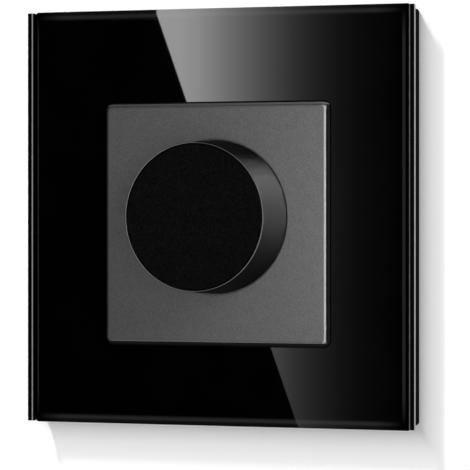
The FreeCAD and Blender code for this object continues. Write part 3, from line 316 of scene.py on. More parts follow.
feed(shader.inputs["Coat Normal"], flattened.outputs[1])
dress(glass_finish, "glass_panel")
print("glass", round((glass_high.x - glass_low.x) / MM, 1), "mm wide")

# %% [markdown]
# ## The two rails
#
# Each rail is an extruded aluminium strip, anodised black and then cut bright on its bevel and its outer
# wall. One material shows both: where the surface faces straight ahead, and on the bevel's innermost part, it
# is black, and elsewhere it is bare metal with the fine lengthwise lines of the cutter.

# %% Rails
STRAIGHT_AHEAD = -0.99
BEVEL_BLACK = 0.18 * MM
ANODISED_BLACK = (0.0012, 0.0012, 0.0014)
LINE_WAVES = 400.0
LINE_STRETCH = (40.0, 40.0, 1.0)
LINE_DEPTH = 0.004 * MM
BRIGHT_METALS = ((0.25, (0.55, 0.55, 0.56)), (0.75, (0.82, 0.82, 0.81)))
RAIL_ROUGHNESS = (0.45, 0.61)
CUT_SMOOTHER = -0.25
DULL = 0.03

rail_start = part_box("right_side_rail")[0].x
rail_finish, tree, shader = new_finish("black_anodised_rail_with_bright_cuts")
place = place_of(tree)
normal = add(tree, "ShaderNodeNewGeometry").outputs["True Normal"]
on_front = sum_of("LESS_THAN", axes_of(normal)["Y"], STRAIGHT_AHEAD)
lines = noise(place, LINE_WAVES, detail=4.0, stretch=LINE_STRETCH)
bright = ramp(lines, BRIGHT_METALS)
from_middle = sum_of("ABSOLUTE", axes_of(place)["X"])
cut_starts = sum_of("GREATER_THAN", from_middle, rail_start + BEVEL_BLACK)
bare = both(inverse(on_front), cut_starts)
rough = sum_of("MULTIPLY_ADD", bare, CUT_SMOOTHER, spread(lines, *RAIL_ROUGHNESS))
surface(shader, blend(bare, ANODISED_BLACK, bright), rough, bare, DULL)
relief(shader, lines, LINE_DEPTH)
dress(rail_finish, "left_side_rail", "right_side_rail")
print("rails are black in front and bright at the cuts")

# %% [markdown]
# ## The centre plate
#
# The plate is black plastic with a fine, sandy anthracite paint on its face. Up close the paint is a crowd of
# lighter and darker grains of about 0.2 mm. The step around the face is coloured near black at its sides and
# below, as painted shade, and its top run keeps the paint's grey. The face's outermost half millimetre is
# burnished
# by handling: a little smoother and darker. Masks from the point's place tell the face, its edge and the step
# apart.

# %% Sandy paint
PLATE_EDGE = 0.42 * MM
PLATE_STEP = 0.55 * MM
PLATE_SIDE_BURNISH = 0.5 * MM
PLATE_MASK_SPARE = 0.05 * MM
SAND_WAVES = 4200.0
SAND_CLOUD_WAVES = 450.0
SAND_SHARE = 0.86
SAND_DEPTH = 0.03 * MM
SANDY_GREYS = ((0.36, 0.089), (0.5, 0.114), (0.64, 0.141))
BURNISHED_GREY = (0.095, 0.095, 0.095)
# painted shade: the near-black colour of the step's sides and bottom
STEP_SHADE_BLACK = (0.004, 0.004, 0.004)
SAND_ROUGHNESS = 0.6
BURNISH_SMOOTHER = -0.22
SAND_SPECULAR = 0.28

plate_low, plate_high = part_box("centre_plate")
plate_middle = (plate_low.z + plate_high.z) / 2
face_half = plate_high.x - PLATE_STEP
cover_finish, tree, shader = new_finish("sandy_anthracite_paint")
place = place_of(tree)
at = axes_of(place)
grains = noise(place, SAND_WAVES, detail=2.5, roughness=0.75)
clouds = noise(place, SAND_CLOUD_WAVES)
paint = ramp(mixture(grains, clouds, SAND_SHARE), SANDY_GREYS)
reach_x = sum_of("ABSOLUTE", at["X"])
reach_z = sum_of("ABSOLUTE", sum_of("SUBTRACT", at["Z"], plate_middle))
reach = sum_of("MAXIMUM", reach_x, reach_z)
at_edge = sum_of("GREATER_THAN", reach, face_half - PLATE_SIDE_BURNISH)
behind_edge = sum_of("GREATER_THAN", at["Y"], plate_low.y + PLATE_EDGE)
beyond_face = sum_of("GREATER_THAN", reach, face_half - PLATE_MASK_SPARE)
below_top = sum_of("LESS_THAN", at["Z"], plate_high.z - PLATE_STEP + PLATE_MASK_SPARE)
# painted shade: the step is near black at its sides and below, while its top run keeps the paint
painted_step_shade = both(both(behind_edge, beyond_face), below_top)
paint = blend(at_edge, paint, BURNISHED_GREY)
rough = sum_of("MULTIPLY_ADD", at_edge, BURNISH_SMOOTHER, SAND_ROUGHNESS)
surface(shader, blend(painted_step_shade, paint, STEP_SHADE_BLACK), rough, specular=SAND_SPECULAR)
relief(shader, grains, SAND_DEPTH)
dress(cover_finish, "centre_plate")
print("plate face", round(face_half * 2 / MM, 1), "mm wide")

# %% [markdown]
# ## Moulded plastics
#
# Many of the pieces inside are moulded. A mould is spark-eroded, and that leaves a fine matte texture on the
# plastic. The colour drifts a little, in clouds a few millimetres wide. One function makes all of them, with
# the colours and the size of the texture as its arguments.

# %% Plastics
CLOUD_WAVES = 140.0
CLOUD_SHARE = 0.6
ROUGHNESS_DRIFT = 0.06
MOULDED_SPECULAR = 0.4
PLASTICS = (
    ("grey_housing_plastic", 0.40, 0.47, 0.48, ("housing_front",)),
    ("black_terminal_plastic", 0.022, 0.036, 0.42, ("terminal_block",)),
    ("brown_phenolic", (0.06, 0.028, 0.014), (0.1, 0.05, 0.026), 0.35, ("pot_case",)),
    ("black_switch_plastic", 0.012, 0.022, 0.3, ("switch_case",)),
    ("white_acetal", (0.72, 0.71, 0.67), (0.8, 0.79, 0.76), 0.32, ("rotor", "switch_plunger")),
    ("blue_trimmer_plastic", (0.02, 0.07, 0.28), (0.03, 0.1, 0.36), 0.33, ("trimmer_body",)),
    ("cream_trimmer_plastic", (0.62, 0.56, 0.4), (0.72, 0.66, 0.5), 0.36, ("trimmer_rotor",)),
)
CORE_YELLOWS = ((0.55, 0.4, 0.05), (0.66, 0.5, 0.09))
CORE_TEXTURE = {"grain_waves": 2200.0, "depth": 0.05 * MM}
TRACK_TEXTURE = {"grain_waves": 2600.0, "depth": 0.012 * MM, "specular": 0.25}


def moulded(name, dark, light, roughness, grain_waves=3500.0, depth=0.01 * MM, specular=MOULDED_SPECULAR):
    """A moulded plastic: two close colours in soft clouds, and a fine matte texture."""
    finish, tree, shader = new_finish(name)
    place = place_of(tree)
    clouds = noise(place, CLOUD_WAVES)
    grain = noise(place, grain_waves, detail=2.0, roughness=0.6)
    colour = clouded(mixture(clouds, grain, CLOUD_SHARE), dark, light)
    rough = spread(clouds, roughness - ROUGHNESS_DRIFT, roughness + ROUGHNESS_DRIFT)
    surface(shader, colour, rough, specular=specular)
    relief(shader, grain, depth)
    return finish


for *looks, pieces in PLASTICS:
    dress(moulded(*looks), *pieces)
dress(moulded("yellow_core_powder", *CORE_YELLOWS, roughness=0.6, **CORE_TEXTURE), "choke_core")
dress(moulded("carbon_track", 0.014, 0.026, roughness=0.62, **TRACK_TEXTURE), "resistive_track")
print(len(PLASTICS) + 2, "moulded materials")

# %% [markdown]
# The two frames behind the glass are black plastic too. Their outer sides get a deeper, duller black than the
# rest, as painted shade that keeps them dark under the lamps. Behind them the plain plastic shows, a little
# greyer, so that its shape shows from behind. A mask tells the two apart: the outer sides are as far from the
# middle as the frame reaches.

# %% Black frames
SHADED_SIDE_REACH = 0.15 * MM
FRAME_GRAIN_WAVES = 3200.0
FRAME_GRAIN_DEPTH = 0.01 * MM
FRAME_ROUGHNESS = 0.5
SIDE_DULLER = 0.3
PLASTIC_BLACKS = (0.014, 0.022)
# painted shade: the deeper black of the frames' outer sides
SIDE_SHADE_BLACKS = (0.0015, 0.004)

base_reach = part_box("base_frame")[1].x
frame_finish, tree, shader = new_finish("black_frame_plastic")
place = place_of(tree)
at = axes_of(place)
grain = noise(place, FRAME_GRAIN_WAVES, detail=2.0, roughness=0.6)
plastic = clouded(noise(place, CLOUD_WAVES), *PLASTIC_BLACKS)
reach = sum_of("MAXIMUM", sum_of("ABSOLUTE", at["X"]), sum_of("ABSOLUTE", at["Z"]))
# painted shade: the outer sides get a deeper, duller black than the plastic behind them
shaded_sides = sum_of("GREATER_THAN", reach, base_reach - SHADED_SIDE_REACH)
side_shade_black = clouded(grain, *SIDE_SHADE_BLACKS)
rough = sum_of("MULTIPLY_ADD", shaded_sides, SIDE_DULLER, FRAME_ROUGHNESS)
surface(shader, blend(shaded_sides, plastic, side_shade_black), rough, specular=DULL)
relief(shader, grain, FRAME_GRAIN_DEPTH)
dress(frame_finish, "carrier_frame", "base_frame")
print("frame sides lie", round(base_reach / MM, 1), "mm from the middle")

# %% [markdown]
# The rear shell shows most of all from behind. It has the same plastic, and besides the round, slightly
# sunken marks of the mould's ejector pins. Marks mirrored left and right need only one sum: the distance from
# a centre, with X taken without its sign.

# %% Rear shell with ejector marks
EJECTOR_RADIUS = 1.9 * MM
EJECTOR_LINE = 0.16 * MM
EJECTOR_PLACES = ((14.5 * MM, -3.0 * MM), (14.5 * MM, 19.5 * MM), (7.0 * MM, -13.0 * MM))
EJECTOR_TINT = (0.3, 0.3, 0.3)
EJECTOR_TINT_SHARE = 0.3
EJECTOR_SINK = -0.7
LINE_SHARE = 0.7
SHELL_GREYS = ((0.40, 0.405, 0.41), (0.47, 0.475, 0.475))
SHELL_ROUGHNESS = (0.42, 0.54)
SHELL_CLOUD_WAVES = 120.0
SHELL_GRAIN_WAVES = 3000.0
SHELL_GRAIN_SHARE = 0.25
SHELL_RELIEF = 0.05 * MM

shell_finish, tree, shader = new_finish("grey_housing_plastic_with_ejector_marks")
place = place_of(tree)
at = axes_of(place)
side = sum_of("ABSOLUTE", at["X"])
marks = 0.0
for mark_x, mark_z in EJECTOR_PLACES:
    across = sum_of("SUBTRACT", side, mark_x)
    away = distance(across, sum_of("SUBTRACT", at["Z"], mark_z))
    in_mark = sum_of("LESS_THAN", away, EJECTOR_RADIUS)
    on_line = between(away, EJECTOR_RADIUS - EJECTOR_LINE, EJECTOR_RADIUS + EJECTOR_LINE)
    marks = sum_of("ADD", mixture(on_line, in_mark, LINE_SHARE), marks)
clouds = noise(place, SHELL_CLOUD_WAVES)
grain = noise(place, SHELL_GRAIN_WAVES, detail=2.0)
tint = sum_of("MULTIPLY", marks, EJECTOR_TINT_SHARE)
colour = blend(tint, clouded(clouds, *SHELL_GREYS), EJECTOR_TINT)
surface(shader, colour, spread(clouds, *SHELL_ROUGHNESS), specular=MOULDED_SPECULAR)
sunken = sum_of("MULTIPLY", marks, EJECTOR_SINK)
relief(shader, sum_of("MULTIPLY_ADD", grain, SHELL_GRAIN_SHARE, sunken), SHELL_RELIEF)
dress(shell_finish, "housing_rear")
print(len(EJECTOR_PLACES) * 2, "ejector marks")

# %% [markdown]
# ## The knob
#
# The knob's wall has a satin, almost black paint, and the flat ring around the inlay is as black as the
# inlay. The rounded rim between them is worn to the bare metal and catches the light as a thin line. Again
# one material does it, with masks from the distance to the axis and from the depth.

# %% Knob
KNOB_RING = 0.5 * MM
RIM_LINE = 0.2 * MM
RIM_DEPTH = 0.12 * MM
RING_DEPTH = 0.05 * MM
RING_BLACK = (0.003, 0.003, 0.003)
RIM_METAL = (0.45, 0.45, 0.45)
RIM_SMOOTHER = -0.2
WALL_BLACKS = ((0.35, 0.005), (0.65, 0.0105))
WALL_ROUGHNESS = (0.48, 0.6)
KNOB_GRAIN_WAVES = 5200.0
KNOB_GRAIN_SHARE = 0.8
KNOB_CLOUD_WAVES = 300.0
KNOB_GRAIN_DEPTH = 0.008 * MM

knob_low, knob_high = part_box("knob")
rim_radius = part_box("knob_face")[1].x + KNOB_RING
knob_finish, tree, shader = new_finish("satin_knob_paint")
place = place_of(tree)
at = axes_of(place)
from_axis = distance(at["X"], at["Z"])
grain = noise(place, KNOB_GRAIN_WAVES, detail=2.0, roughness=0.7)
clouds = noise(place, KNOB_CLOUD_WAVES)
wall_paint = ramp(mixture(grain, clouds, KNOB_GRAIN_SHARE), WALL_BLACKS)
near_front = sum_of("LESS_THAN", at["Y"], knob_low.y + RING_DEPTH)
ring = both(near_front, sum_of("LESS_THAN", from_axis, rim_radius - RIM_LINE))
at_rim = sum_of("LESS_THAN", at["Y"], knob_low.y + RIM_DEPTH)
bare_rim = both(at_rim, inverse(ring))
painted = blend(ring, wall_paint, RING_BLACK)
rough = sum_of("MULTIPLY_ADD", bare_rim, RIM_SMOOTHER, spread(grain, *WALL_ROUGHNESS))
surface(shader, blend(bare_rim, painted, RIM_METAL), rough, bare_rim, DULL)
relief(shader, grain, KNOB_GRAIN_DEPTH)
dress(knob_finish, "knob")
print("knob", round((knob_high.x - knob_low.x) / MM, 1), "mm across")

# %% [markdown]
# The inlay is a black disc with a coarser, silky grain. Its noise goes from near black to a faint grey, so
# that single grains show.

# %% Knob's inlay
INLAY_BLACKS = ((0.35, 0.0003), (0.65, 0.0105))
INLAY_ROUGHNESS = (0.42, 0.6)
INLAY_SPECULAR = 0.06
INLAY_GRAIN_WAVES = 2800.0

face_finish, tree, shader = new_finish("satin_black_inlay")
grain = noise(place_of(tree), INLAY_GRAIN_WAVES, detail=2.0, roughness=0.8)
rough = spread(grain, *INLAY_ROUGHNESS)
surface(shader, ramp(grain, INLAY_BLACKS), rough, specular=INLAY_SPECULAR)
relief(shader, grain, KNOB_GRAIN_DEPTH)
dress(face_finish, "knob_face")
print("inlay", round((rim_radius - KNOB_RING) * 2 / MM, 1), "mm across")

# %% [markdown]
# ## Plated and turned metals
#
# Zinc on pressed steel is cloudy, with a faint colour from its passivation. Turned brass and the shaft show
# rings around the axis, which a lathe's tool leaves. The rings come from the depth along the axis, so they
# need no unwrapping. Where a piece has a thread, the angle around the axis is added to the depth, and the
# rings turn into a helix.

# %% Metal functions
THREAD_RELIEF = 0.4 * MM
RING_RELIEF = 0.008 * MM
PLATED_RELIEF = 0.006 * MM
TURNED_ROUGHNESS = (0.2, 0.34)
RINGS_ON_THREAD = 0.04
PLATED_CLOUD_WAVES = 260.0
PLATED_GRAIN_WAVES = 6000.0
TURNED_CLOUD_WAVES = 400.0


def plated(name, dark, light, rough_low, rough_high):
    """A plated, pressed metal with clouds of colour and gloss."""
    finish, tree, shader = new_finish(name)
    place = place_of(tree)
    clouds = noise(place, PLATED_CLOUD_WAVES, detail=5.0, roughness=0.65)
    rough = spread(clouds, rough_low, rough_high)
    surface(shader, clouded(clouds, dark, light), rough, 1.0)
    relief(shader, noise(place, PLATED_GRAIN_WAVES, detail=2.0), PLATED_RELIEF)
    return finish


def turned(name, dark, light, ring_pitch, thread_pitch=None, thread_from=0.0):
    """A turned metal with a lathe's rings around the knob's axis, and a thread where one is asked for."""
    finish, tree, shader = new_finish(name)
    place = place_of(tree)
    at = axes_of(place)
    clouds = noise(place, TURNED_CLOUD_WAVES, detail=4.0)
    surface(shader, clouded(clouds, dark, light), spread(clouds, *TURNED_ROUGHNESS), 1.0)
    rings = sum_of("DIVIDE", sum_of("PINGPONG", at["Y"], ring_pitch / 2), ring_pitch / 2)
    if thread_pitch:
        turn = sum_of("DIVIDE", sum_of("ARCTAN2", at["Z"], at["X"]), 2 * math.pi)
        helix = sum_of("ADD", sum_of("DIVIDE", at["Y"], thread_pitch), turn)
        threaded = sum_of("LESS_THAN", at["Y"], thread_from)
        tooth = sum_of("MULTIPLY", sum_of("PINGPONG", helix, 0.5), threaded)
        relief(shader, sum_of("MULTIPLY_ADD", rings, RINGS_ON_THREAD, tooth), THREAD_RELIEF)
    else:
        relief(shader, rings, RING_RELIEF)
    return finish


print("metal functions are ready")

# %% [markdown]
# The metals differ in their two colours and in how far their gloss drifts. For each plated metal a table has
# what the function takes, and the pieces that wear it.

# %% Metals
BRASS_DARK = (0.56, 0.39, 0.13)
BRASS_LIGHT = (0.72, 0.54, 0.23)
SHAFT_GREYS = ((0.52, 0.52, 0.53), (0.66, 0.66, 0.66))
BRASS_RINGS = 0.12 * MM
SHAFT_RINGS = 0.1 * MM
BUSHING_PITCH = 0.75 * MM
BUSHING_THREAD_END = 2.0 * MM
INSERT_PIECES = ("support_plate", "bushing_nut", "lock_washer", "housing_screws", "heat_sink_screw")
CLAW_PIECES = ("left_claw", "right_claw", "left_claw_screw", "right_claw_screw", "claw_pins")
SPRING_PIECES = ("knob_spring_clip", "retaining_ring", "plunger_spring")
CONTACT_PIECES = ("contact_bridge", "fixed_contacts", "fuse_clips", "pot_terminals", "wiper")
PLATED_METALS = (
    ("zinc_plated_steel", (0.50, 0.51, 0.53), (0.68, 0.68, 0.66), 0.26, 0.46, INSERT_PIECES + CLAW_PIECES),
    ("blued_spring_steel", (0.30, 0.31, 0.34), (0.42, 0.42, 0.44), 0.22, 0.36, SPRING_PIECES),
    ("tinned_contact_brass", (0.70, 0.62, 0.42), (0.82, 0.76, 0.60), 0.24, 0.4, CONTACT_PIECES),
    ("zinc_screw_steel", (0.58, 0.58, 0.58), (0.72, 0.71, 0.69), 0.24, 0.42, ("terminal_screws",)),
    ("milled_aluminium", (0.66, 0.66, 0.67), (0.78, 0.78, 0.78), 0.28, 0.44, ("heat_sink",)),
    ("pressed_brass", BRASS_DARK, BRASS_LIGHT, 0.26, 0.42, ("terminal_cages",)),
    ("enamelled_copper", (0.42, 0.13, 0.04), (0.56, 0.2, 0.07), 0.18, 0.3, ("choke_winding",)),
)
for *looks, pieces in PLATED_METALS:
    dress(plated(*looks), *pieces)
dress(turned("turned_brass", BRASS_DARK, BRASS_LIGHT, BRASS_RINGS), "plate_nut")
bushing_thread = (BUSHING_PITCH, BUSHING_THREAD_END)
dress(turned("threaded_brass", BRASS_DARK, BRASS_LIGHT, BRASS_RINGS, *bushing_thread), "bushing")
dress(turned("turned_shaft_steel", *SHAFT_GREYS, SHAFT_RINGS), "shaft")
print(len(PLATED_METALS), "plated and 3 turned metals")

# %% [markdown]
# ## The electronic parts
#
# These are small and sit inside the closed housing, but someone who opens it, or draws it apart, sees them.
# Most are one solid with two or more finishes, such as a fuse of glass with metal caps. The circuit board is
# green lacquer over copper areas, which show lighter, with dark gaps between them. A cell texture draws the
# gaps, and it takes X and Z only, so that it doesn't change through the board's thickness.

# %% Circuit board
COPPER_GREENS = ((0.02, 0.16, 0.07), (0.03, 0.2, 0.09))
GAP_GREENS = ((0.008, 0.075, 0.035), (0.012, 0.1, 0.045))
COPPER_CELLS = 230.0
GAP_SHARE = 0.06
WEAVE_WAVES = 2400.0
BOARD_ROUGHNESS = (0.22, 0.34)
COPPER_HEIGHT = 0.03 * MM

board_finish, tree, shader = new_finish("green_board_laminate")
place = place_of(tree)
at = axes_of(place)
flat_place = add(tree, "ShaderNodeCombineXYZ")
feed(flat_place.inputs[0], at["X"])
feed(flat_place.inputs[1], at["Z"])
cells = add(tree, "ShaderNodeTexVoronoi", feature="DISTANCE_TO_EDGE")
cells.inputs["Scale"].default_value = COPPER_CELLS
feed(cells.inputs["Vector"], flat_place.outputs[0])
gaps = sum_of("LESS_THAN", cells.outputs["Distance"], GAP_SHARE)
weave = noise(place, WEAVE_WAVES, detail=2.0)
greens = blend(gaps, blend(weave, *COPPER_GREENS), blend(weave, *GAP_GREENS))
surface(shader, greens, spread(weave, *BOARD_ROUGHNESS))
relief(shader, inverse(gaps), COPPER_HEIGHT)
dress(board_finish, "circuit_board")
print("board is ready")

# %% [markdown]
# The triac and the control chip are black epoxy with tinned legs. One function makes both, and each gets its
# own mask for the metal: the triac's epoxy lies between two heights, the chip's around its middle.

# %% Packages with tinned legs
TRIAC_FOOT = 9.6 * MM
TRIAC_TOP = 15.6 * MM
CHIP_BODY_HALF = 2.11 * MM
TIN = (0.66, 0.65, 0.62)
EPOXY_BLACKS = (0.012, 0.024)
EPOXY_ROUGHNESS = 0.55
TIN_SMOOTHER = -0.25
EPOXY_WAVES = 5000.0
EPOXY_DEPTH = 0.012 * MM


def package(name, bare):
    """Black epoxy, except where bare is 1: there it is tinned metal."""
    finish, tree, shader = new_finish(name)
    place = place_of(tree)
    metal = bare(axes_of(place))
    grain = noise(place, EPOXY_WAVES, detail=2.0)
    rough = sum_of("MULTIPLY_ADD", metal, TIN_SMOOTHER, EPOXY_ROUGHNESS)
    surface(shader, blend(metal, clouded(grain, *EPOXY_BLACKS), TIN), rough, metal)
    relief(shader, grain, EPOXY_DEPTH)
    return finish


def triac_metal(at):
    """1 on the triac's tab and legs."""
    return inverse(between(at["Z"], TRIAC_FOOT, TRIAC_TOP))


def chip_metal(at):
    """1 on the chip's legs."""
    low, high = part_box("control_chip")
    from_middle = sum_of("ABSOLUTE", sum_of("SUBTRACT", at["X"], (low.x + high.x) / 2))
    return sum_of("GREATER_THAN", from_middle, CHIP_BODY_HALF)


dress(package("triac_epoxy_and_tin", triac_metal), "triac")
dress(package("chip_epoxy_and_tin", chip_metal), "control_chip")
print("packages are ready")

# %% [markdown]
# The electrolytic capacitor is an aluminium can in a dark blue sleeve. A pale stripe marks its negative side,
# and the bare top is scored with a cross. The angle around the can gives the stripe, and the smaller of the
# two distances from its axes gives the cross.

# %% Electrolytic capacitor
STRIPE_ANGLE = 2.4
BARE_TOP_RADIUS = 3.3 * MM
BARE_TOP_DEPTH = 0.02 * MM
SCORE_HALF = 0.15 * MM
SLEEVE_BLUE = (0.012, 0.02, 0.05)
SLEEVE_STRIPE = (0.42, 0.43, 0.45)
SLEEVE_DUST = (0.06, 0.07, 0.1)
CAN_METAL = (0.7, 0.7, 0.7)
SLEEVE_WAVES = 1800.0
SLEEVE_ROUGHNESS = (0.25, 0.4)
SLEEVE_RELIEF = 0.03 * MM
DUST_SHARE = 0.2

can_low, can_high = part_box("electrolytic_capacitor")
can_middle = (can_low + can_high) / 2
can_finish, tree, shader = new_finish("capacitor_sleeve_with_stripe")
place = place_of(tree)
at = axes_of(place)
off_x = sum_of("SUBTRACT", at["X"], can_middle.x)
off_z = sum_of("SUBTRACT", at["Z"], can_middle.z)
stripe = sum_of("GREATER_THAN", sum_of("ARCTAN2", off_z, off_x), STRIPE_ANGLE)
at_top = sum_of("LESS_THAN", at["Y"], can_low.y + BARE_TOP_DEPTH)
within = sum_of("LESS_THAN", distance(off_x, off_z), BARE_TOP_RADIUS)
bare_top = both(at_top, within)
cross = sum_of("MINIMUM", sum_of("ABSOLUTE", off_x), sum_of("ABSOLUTE", off_z))
scored = both(bare_top, sum_of("LESS_THAN", cross, SCORE_HALF))
fine = noise(place, SLEEVE_WAVES)
sleeve = blend(stripe, SLEEVE_BLUE, SLEEVE_STRIPE)
sleeve = blend(sum_of("MULTIPLY", fine, DUST_SHARE), sleeve, SLEEVE_DUST)
rough = spread(fine, *SLEEVE_ROUGHNESS)
surface(shader, blend(bare_top, sleeve, CAN_METAL), rough, bare_top)
relief(shader, sum_of("SUBTRACT", fine, scored), SLEEVE_RELIEF)
dress(can_finish, "electrolytic_capacitor")
print("capacitor sleeve is ready")

# %% [markdown]
# The film capacitor is a yellow box on two leads, and the leads begin at a fixed distance from its rear.

# %% Film capacitor
FILM_CASE_DEPTH = 7.55 * MM
FILM_YELLOWS = ((0.5, 0.34, 0.04), (0.6, 0.42, 0.07))
FILM_WAVES = 2600.0
FILM_ROUGHNESS = (0.34, 0.46)
FILM_RELIEF = 0.012 * MM

film_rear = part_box("film_capacitor")[1].y
film_finish, tree, shader = new_finish("film_capacitor_case")
place = place_of(tree)
at_leads = sum_of("LESS_THAN", axes_of(place)["Y"], film_rear - FILM_CASE_DEPTH)
fine = noise(place, FILM_WAVES, detail=2.0)
colour = blend(at_leads, clouded(fine, *FILM_YELLOWS), TIN)
surface(shader, colour, spread(fine, *FILM_ROUGHNESS), at_leads)
relief(shader, fine, FILM_RELIEF)
dress(film_finish, "film_capacitor")
print("film capacitor is ready")

# %% [markdown]
# The resistors lie side by side, so one set of bands along X serves them all. Each band is a mask between two
# distances from their middle, and beyond the bodies the leads are tinned.

# %% Resistors
RESISTOR_BODY_HALF = 2.8 * MM
BAND_HALF = 0.24 * MM
RESISTOR_TANS = ((0.56, 0.4, 0.24), (0.66, 0.5, 0.32))
RESISTOR_WAVES = 1500.0
RESISTOR_ROUGHNESS = (0.3, 0.42)
RESISTOR_RELIEF = 0.02 * MM
BANDS = (
    (-1.9 * MM, (0.05, 0.02, 0.01)),
    (-0.9 * MM, (0.35, 0.02, 0.01)),
    (0.1 * MM, (0.5, 0.3, 0.02)),
    (1.8 * MM, (0.45, 0.3, 0.08)),
)

resistor_low, resistor_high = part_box("resistors")
resistor_finish, tree, shader = new_finish("resistors_with_bands")
place = place_of(tree)
off = sum_of("SUBTRACT", axes_of(place)["X"], (resistor_low.x + resistor_high.x) / 2)
on_body = between(off, -RESISTOR_BODY_HALF, RESISTOR_BODY_HALF)
fine = noise(place, RESISTOR_WAVES)
colour = clouded(fine, *RESISTOR_TANS)
for band, ink in BANDS:
    colour = blend(between(off, band - BAND_HALF, band + BAND_HALF), colour, ink)
colour = blend(on_body, TIN, colour)
surface(shader, colour, spread(fine, *RESISTOR_ROUGHNESS), inverse(on_body))
relief(shader, fine, RESISTOR_RELIEF)
dress(resistor_finish, "resistors")
print(len(BANDS), "bands on each resistor")

# %% [markdown]
# The fuse is a glass tube between two metal caps. Where the caps aren't, the same shader lets light through.

# %% Fuse
FUSE_CAP = 5.0 * MM
FUSE_GLASS = (0.93, 0.97, 0.95)
CAP_METALS = ((0.6, 0.6, 0.58), (0.75, 0.74, 0.7))
FUSE_WAVES = 900.0
FUSE_ROUGHNESS = (0.04, 0.12)
FUSE_RELIEF = 0.01 * MM

fuse_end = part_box("fuse")[1].x
fuse_finish, tree, shader = new_finish("fuse_glass_and_caps")
place = place_of(tree)
cap = sum_of("GREATER_THAN", sum_of("ABSOLUTE", axes_of(place)["X"]), fuse_end - FUSE_CAP)
fine = noise(place, FUSE_WAVES)
colour = blend(cap, FUSE_GLASS, clouded(fine, *CAP_METALS))
surface(shader, colour, spread(fine, *FUSE_ROUGHNESS), cap)
feed(shader.inputs["Transmission Weight"], inverse(cap))
shader.inputs["IOR"].default_value = GLASS_IOR
relief(shader, fine, FUSE_RELIEF)
dress(fuse_finish, "fuse")
print("nodes without a finish:", [name for name, node in nodes.items() if not len(node.data.materials)])

# %% [markdown]
# ## Threads of the claw screws
#
# The two long screws stand free beside the housing, so their threads show from behind. A thread could be a
# bump, but its outline would stay smooth. It is better as a real ridge: one section, carried along a helix,
# that fades in and out over a turn at both ends. It is a little lower than on a real screw, so that it clears
# the hole of the tilted claw. Each thread rides on its screw's body, so it turns when the screw turns.

# %% Screw threads
THREAD_STEPS = 24
THREAD_PITCH = 0.7 * MM
THREAD_HEIGHT = 0.16 * MM
THREAD_START = 1.2 * MM
THREAD_END_SPARE = 0.3 * MM
THREAD_SINK = 0.05 * MM
SHANK_RADIUS = 1.45 * MM
THREAD_SECTION = ((False, -0.42), (True, -0.06), (True, 0.06), (False, 0.42))


def thread(name, body):
    """A helical ridge around the shank of a claw screw."""
    low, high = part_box(body)
    axis_x = (low.x + high.x) / 2
    axis_z = (low.z + high.z) / 2
    turns = (high.y - THREAD_END_SPARE - THREAD_START) / THREAD_PITCH
    count = int(turns * THREAD_STEPS)
    mesh = bmesh.new()
    previous = None
    for step in range(count + 1):
        angle = step / THREAD_STEPS * 2 * math.pi
        fade = min(1.0, step / THREAD_STEPS, (count - step) / THREAD_STEPS)
        depth = THREAD_START + step / THREAD_STEPS * THREAD_PITCH
        section = []
        for at_crest, shift in THREAD_SECTION:
            radius = SHANK_RADIUS + THREAD_HEIGHT * fade if at_crest else SHANK_RADIUS - THREAD_SINK
            across = axis_x + math.cos(angle) * radius
            up = axis_z + math.sin(angle) * radius
            section.append(mesh.verts.new((across, depth + shift * THREAD_PITCH, up)))
        if previous:
            for index in range(4):
                after = (index + 1) % 4
                mesh.faces.new((previous[index], previous[after], section[after], section[index]))
        else:
            mesh.faces.new(section)
        previous = section
    mesh.faces.new(reversed(previous))
    bmesh.ops.recalc_face_normals(mesh, faces=mesh.faces)
    data = bpy.data.meshes.new(name)
    mesh.to_mesh(data)
    mesh.free()
    data.materials.append(nodes[body].data.materials[0])
    piece = in_scene(name, data)
    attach(piece, body)
    return piece


for side in ("left", "right"):
    ridge = thread(side + "_claw_screw_thread", side + "_claw_screw")
    print(ridge.name, len(ridge.data.polygons), "faces")

# %% [markdown]
# ## The wall
#
# The dimmer is fastened to a white wall, and its base throws a soft shadow to the right and below. The wall
# is a large plane just behind the base. It is matte white, and a little light of its own, which lights no
# other thing, brings it up to the picture's white. Mirror rays pass it by, because the black sides of the
# frames would turn pale with its image. From behind it is clear, so that one can look at the insert from
# there.

# %% Wall
WALL_HALF = 3.0
WALL_DEPTH = 0.3 * MM
WALL_GREY = 0.8
WALL_GLOW = 0.33


def flat_face(name, corners):
    """An object of one four-sided face."""
    mesh = bpy.data.meshes.new(name)
    mesh.from_pydata(corners, [], [(0, 1, 2, 3)])
    return in_scene(name, mesh)


def empty_tree(owner):
    """The node tree of a material or a world, with no nodes."""
    owner.use_nodes = True
    owner.node_tree.nodes.clear()
    return owner.node_tree


def choice(factor, first, second):
    """One of two shaders; a factor of 1 gives the second."""
    node = add(factor.id_data, "ShaderNodeMixShader")
    for socket, value in zip(node.inputs, (factor, first, second)):
        feed(socket, value)
    return node.outputs[0]


def seen_directly(tree):
    """1 for camera rays and for what mirrors and glass show of them."""
    ray = add(tree, "ShaderNodeLightPath").outputs
    either = sum_of("MAXIMUM", ray["Is Camera Ray"], ray["Is Glossy Ray"])
    return sum_of("MAXIMUM", either, ray["Is Transmission Ray"])


signs = ((-1, -1), (1, -1), (1, 1), (-1, 1))
wall = flat_face("wall", [(x * WALL_HALF, WALL_DEPTH, z * WALL_HALF) for x, z in signs])
wall.visible_glossy = False

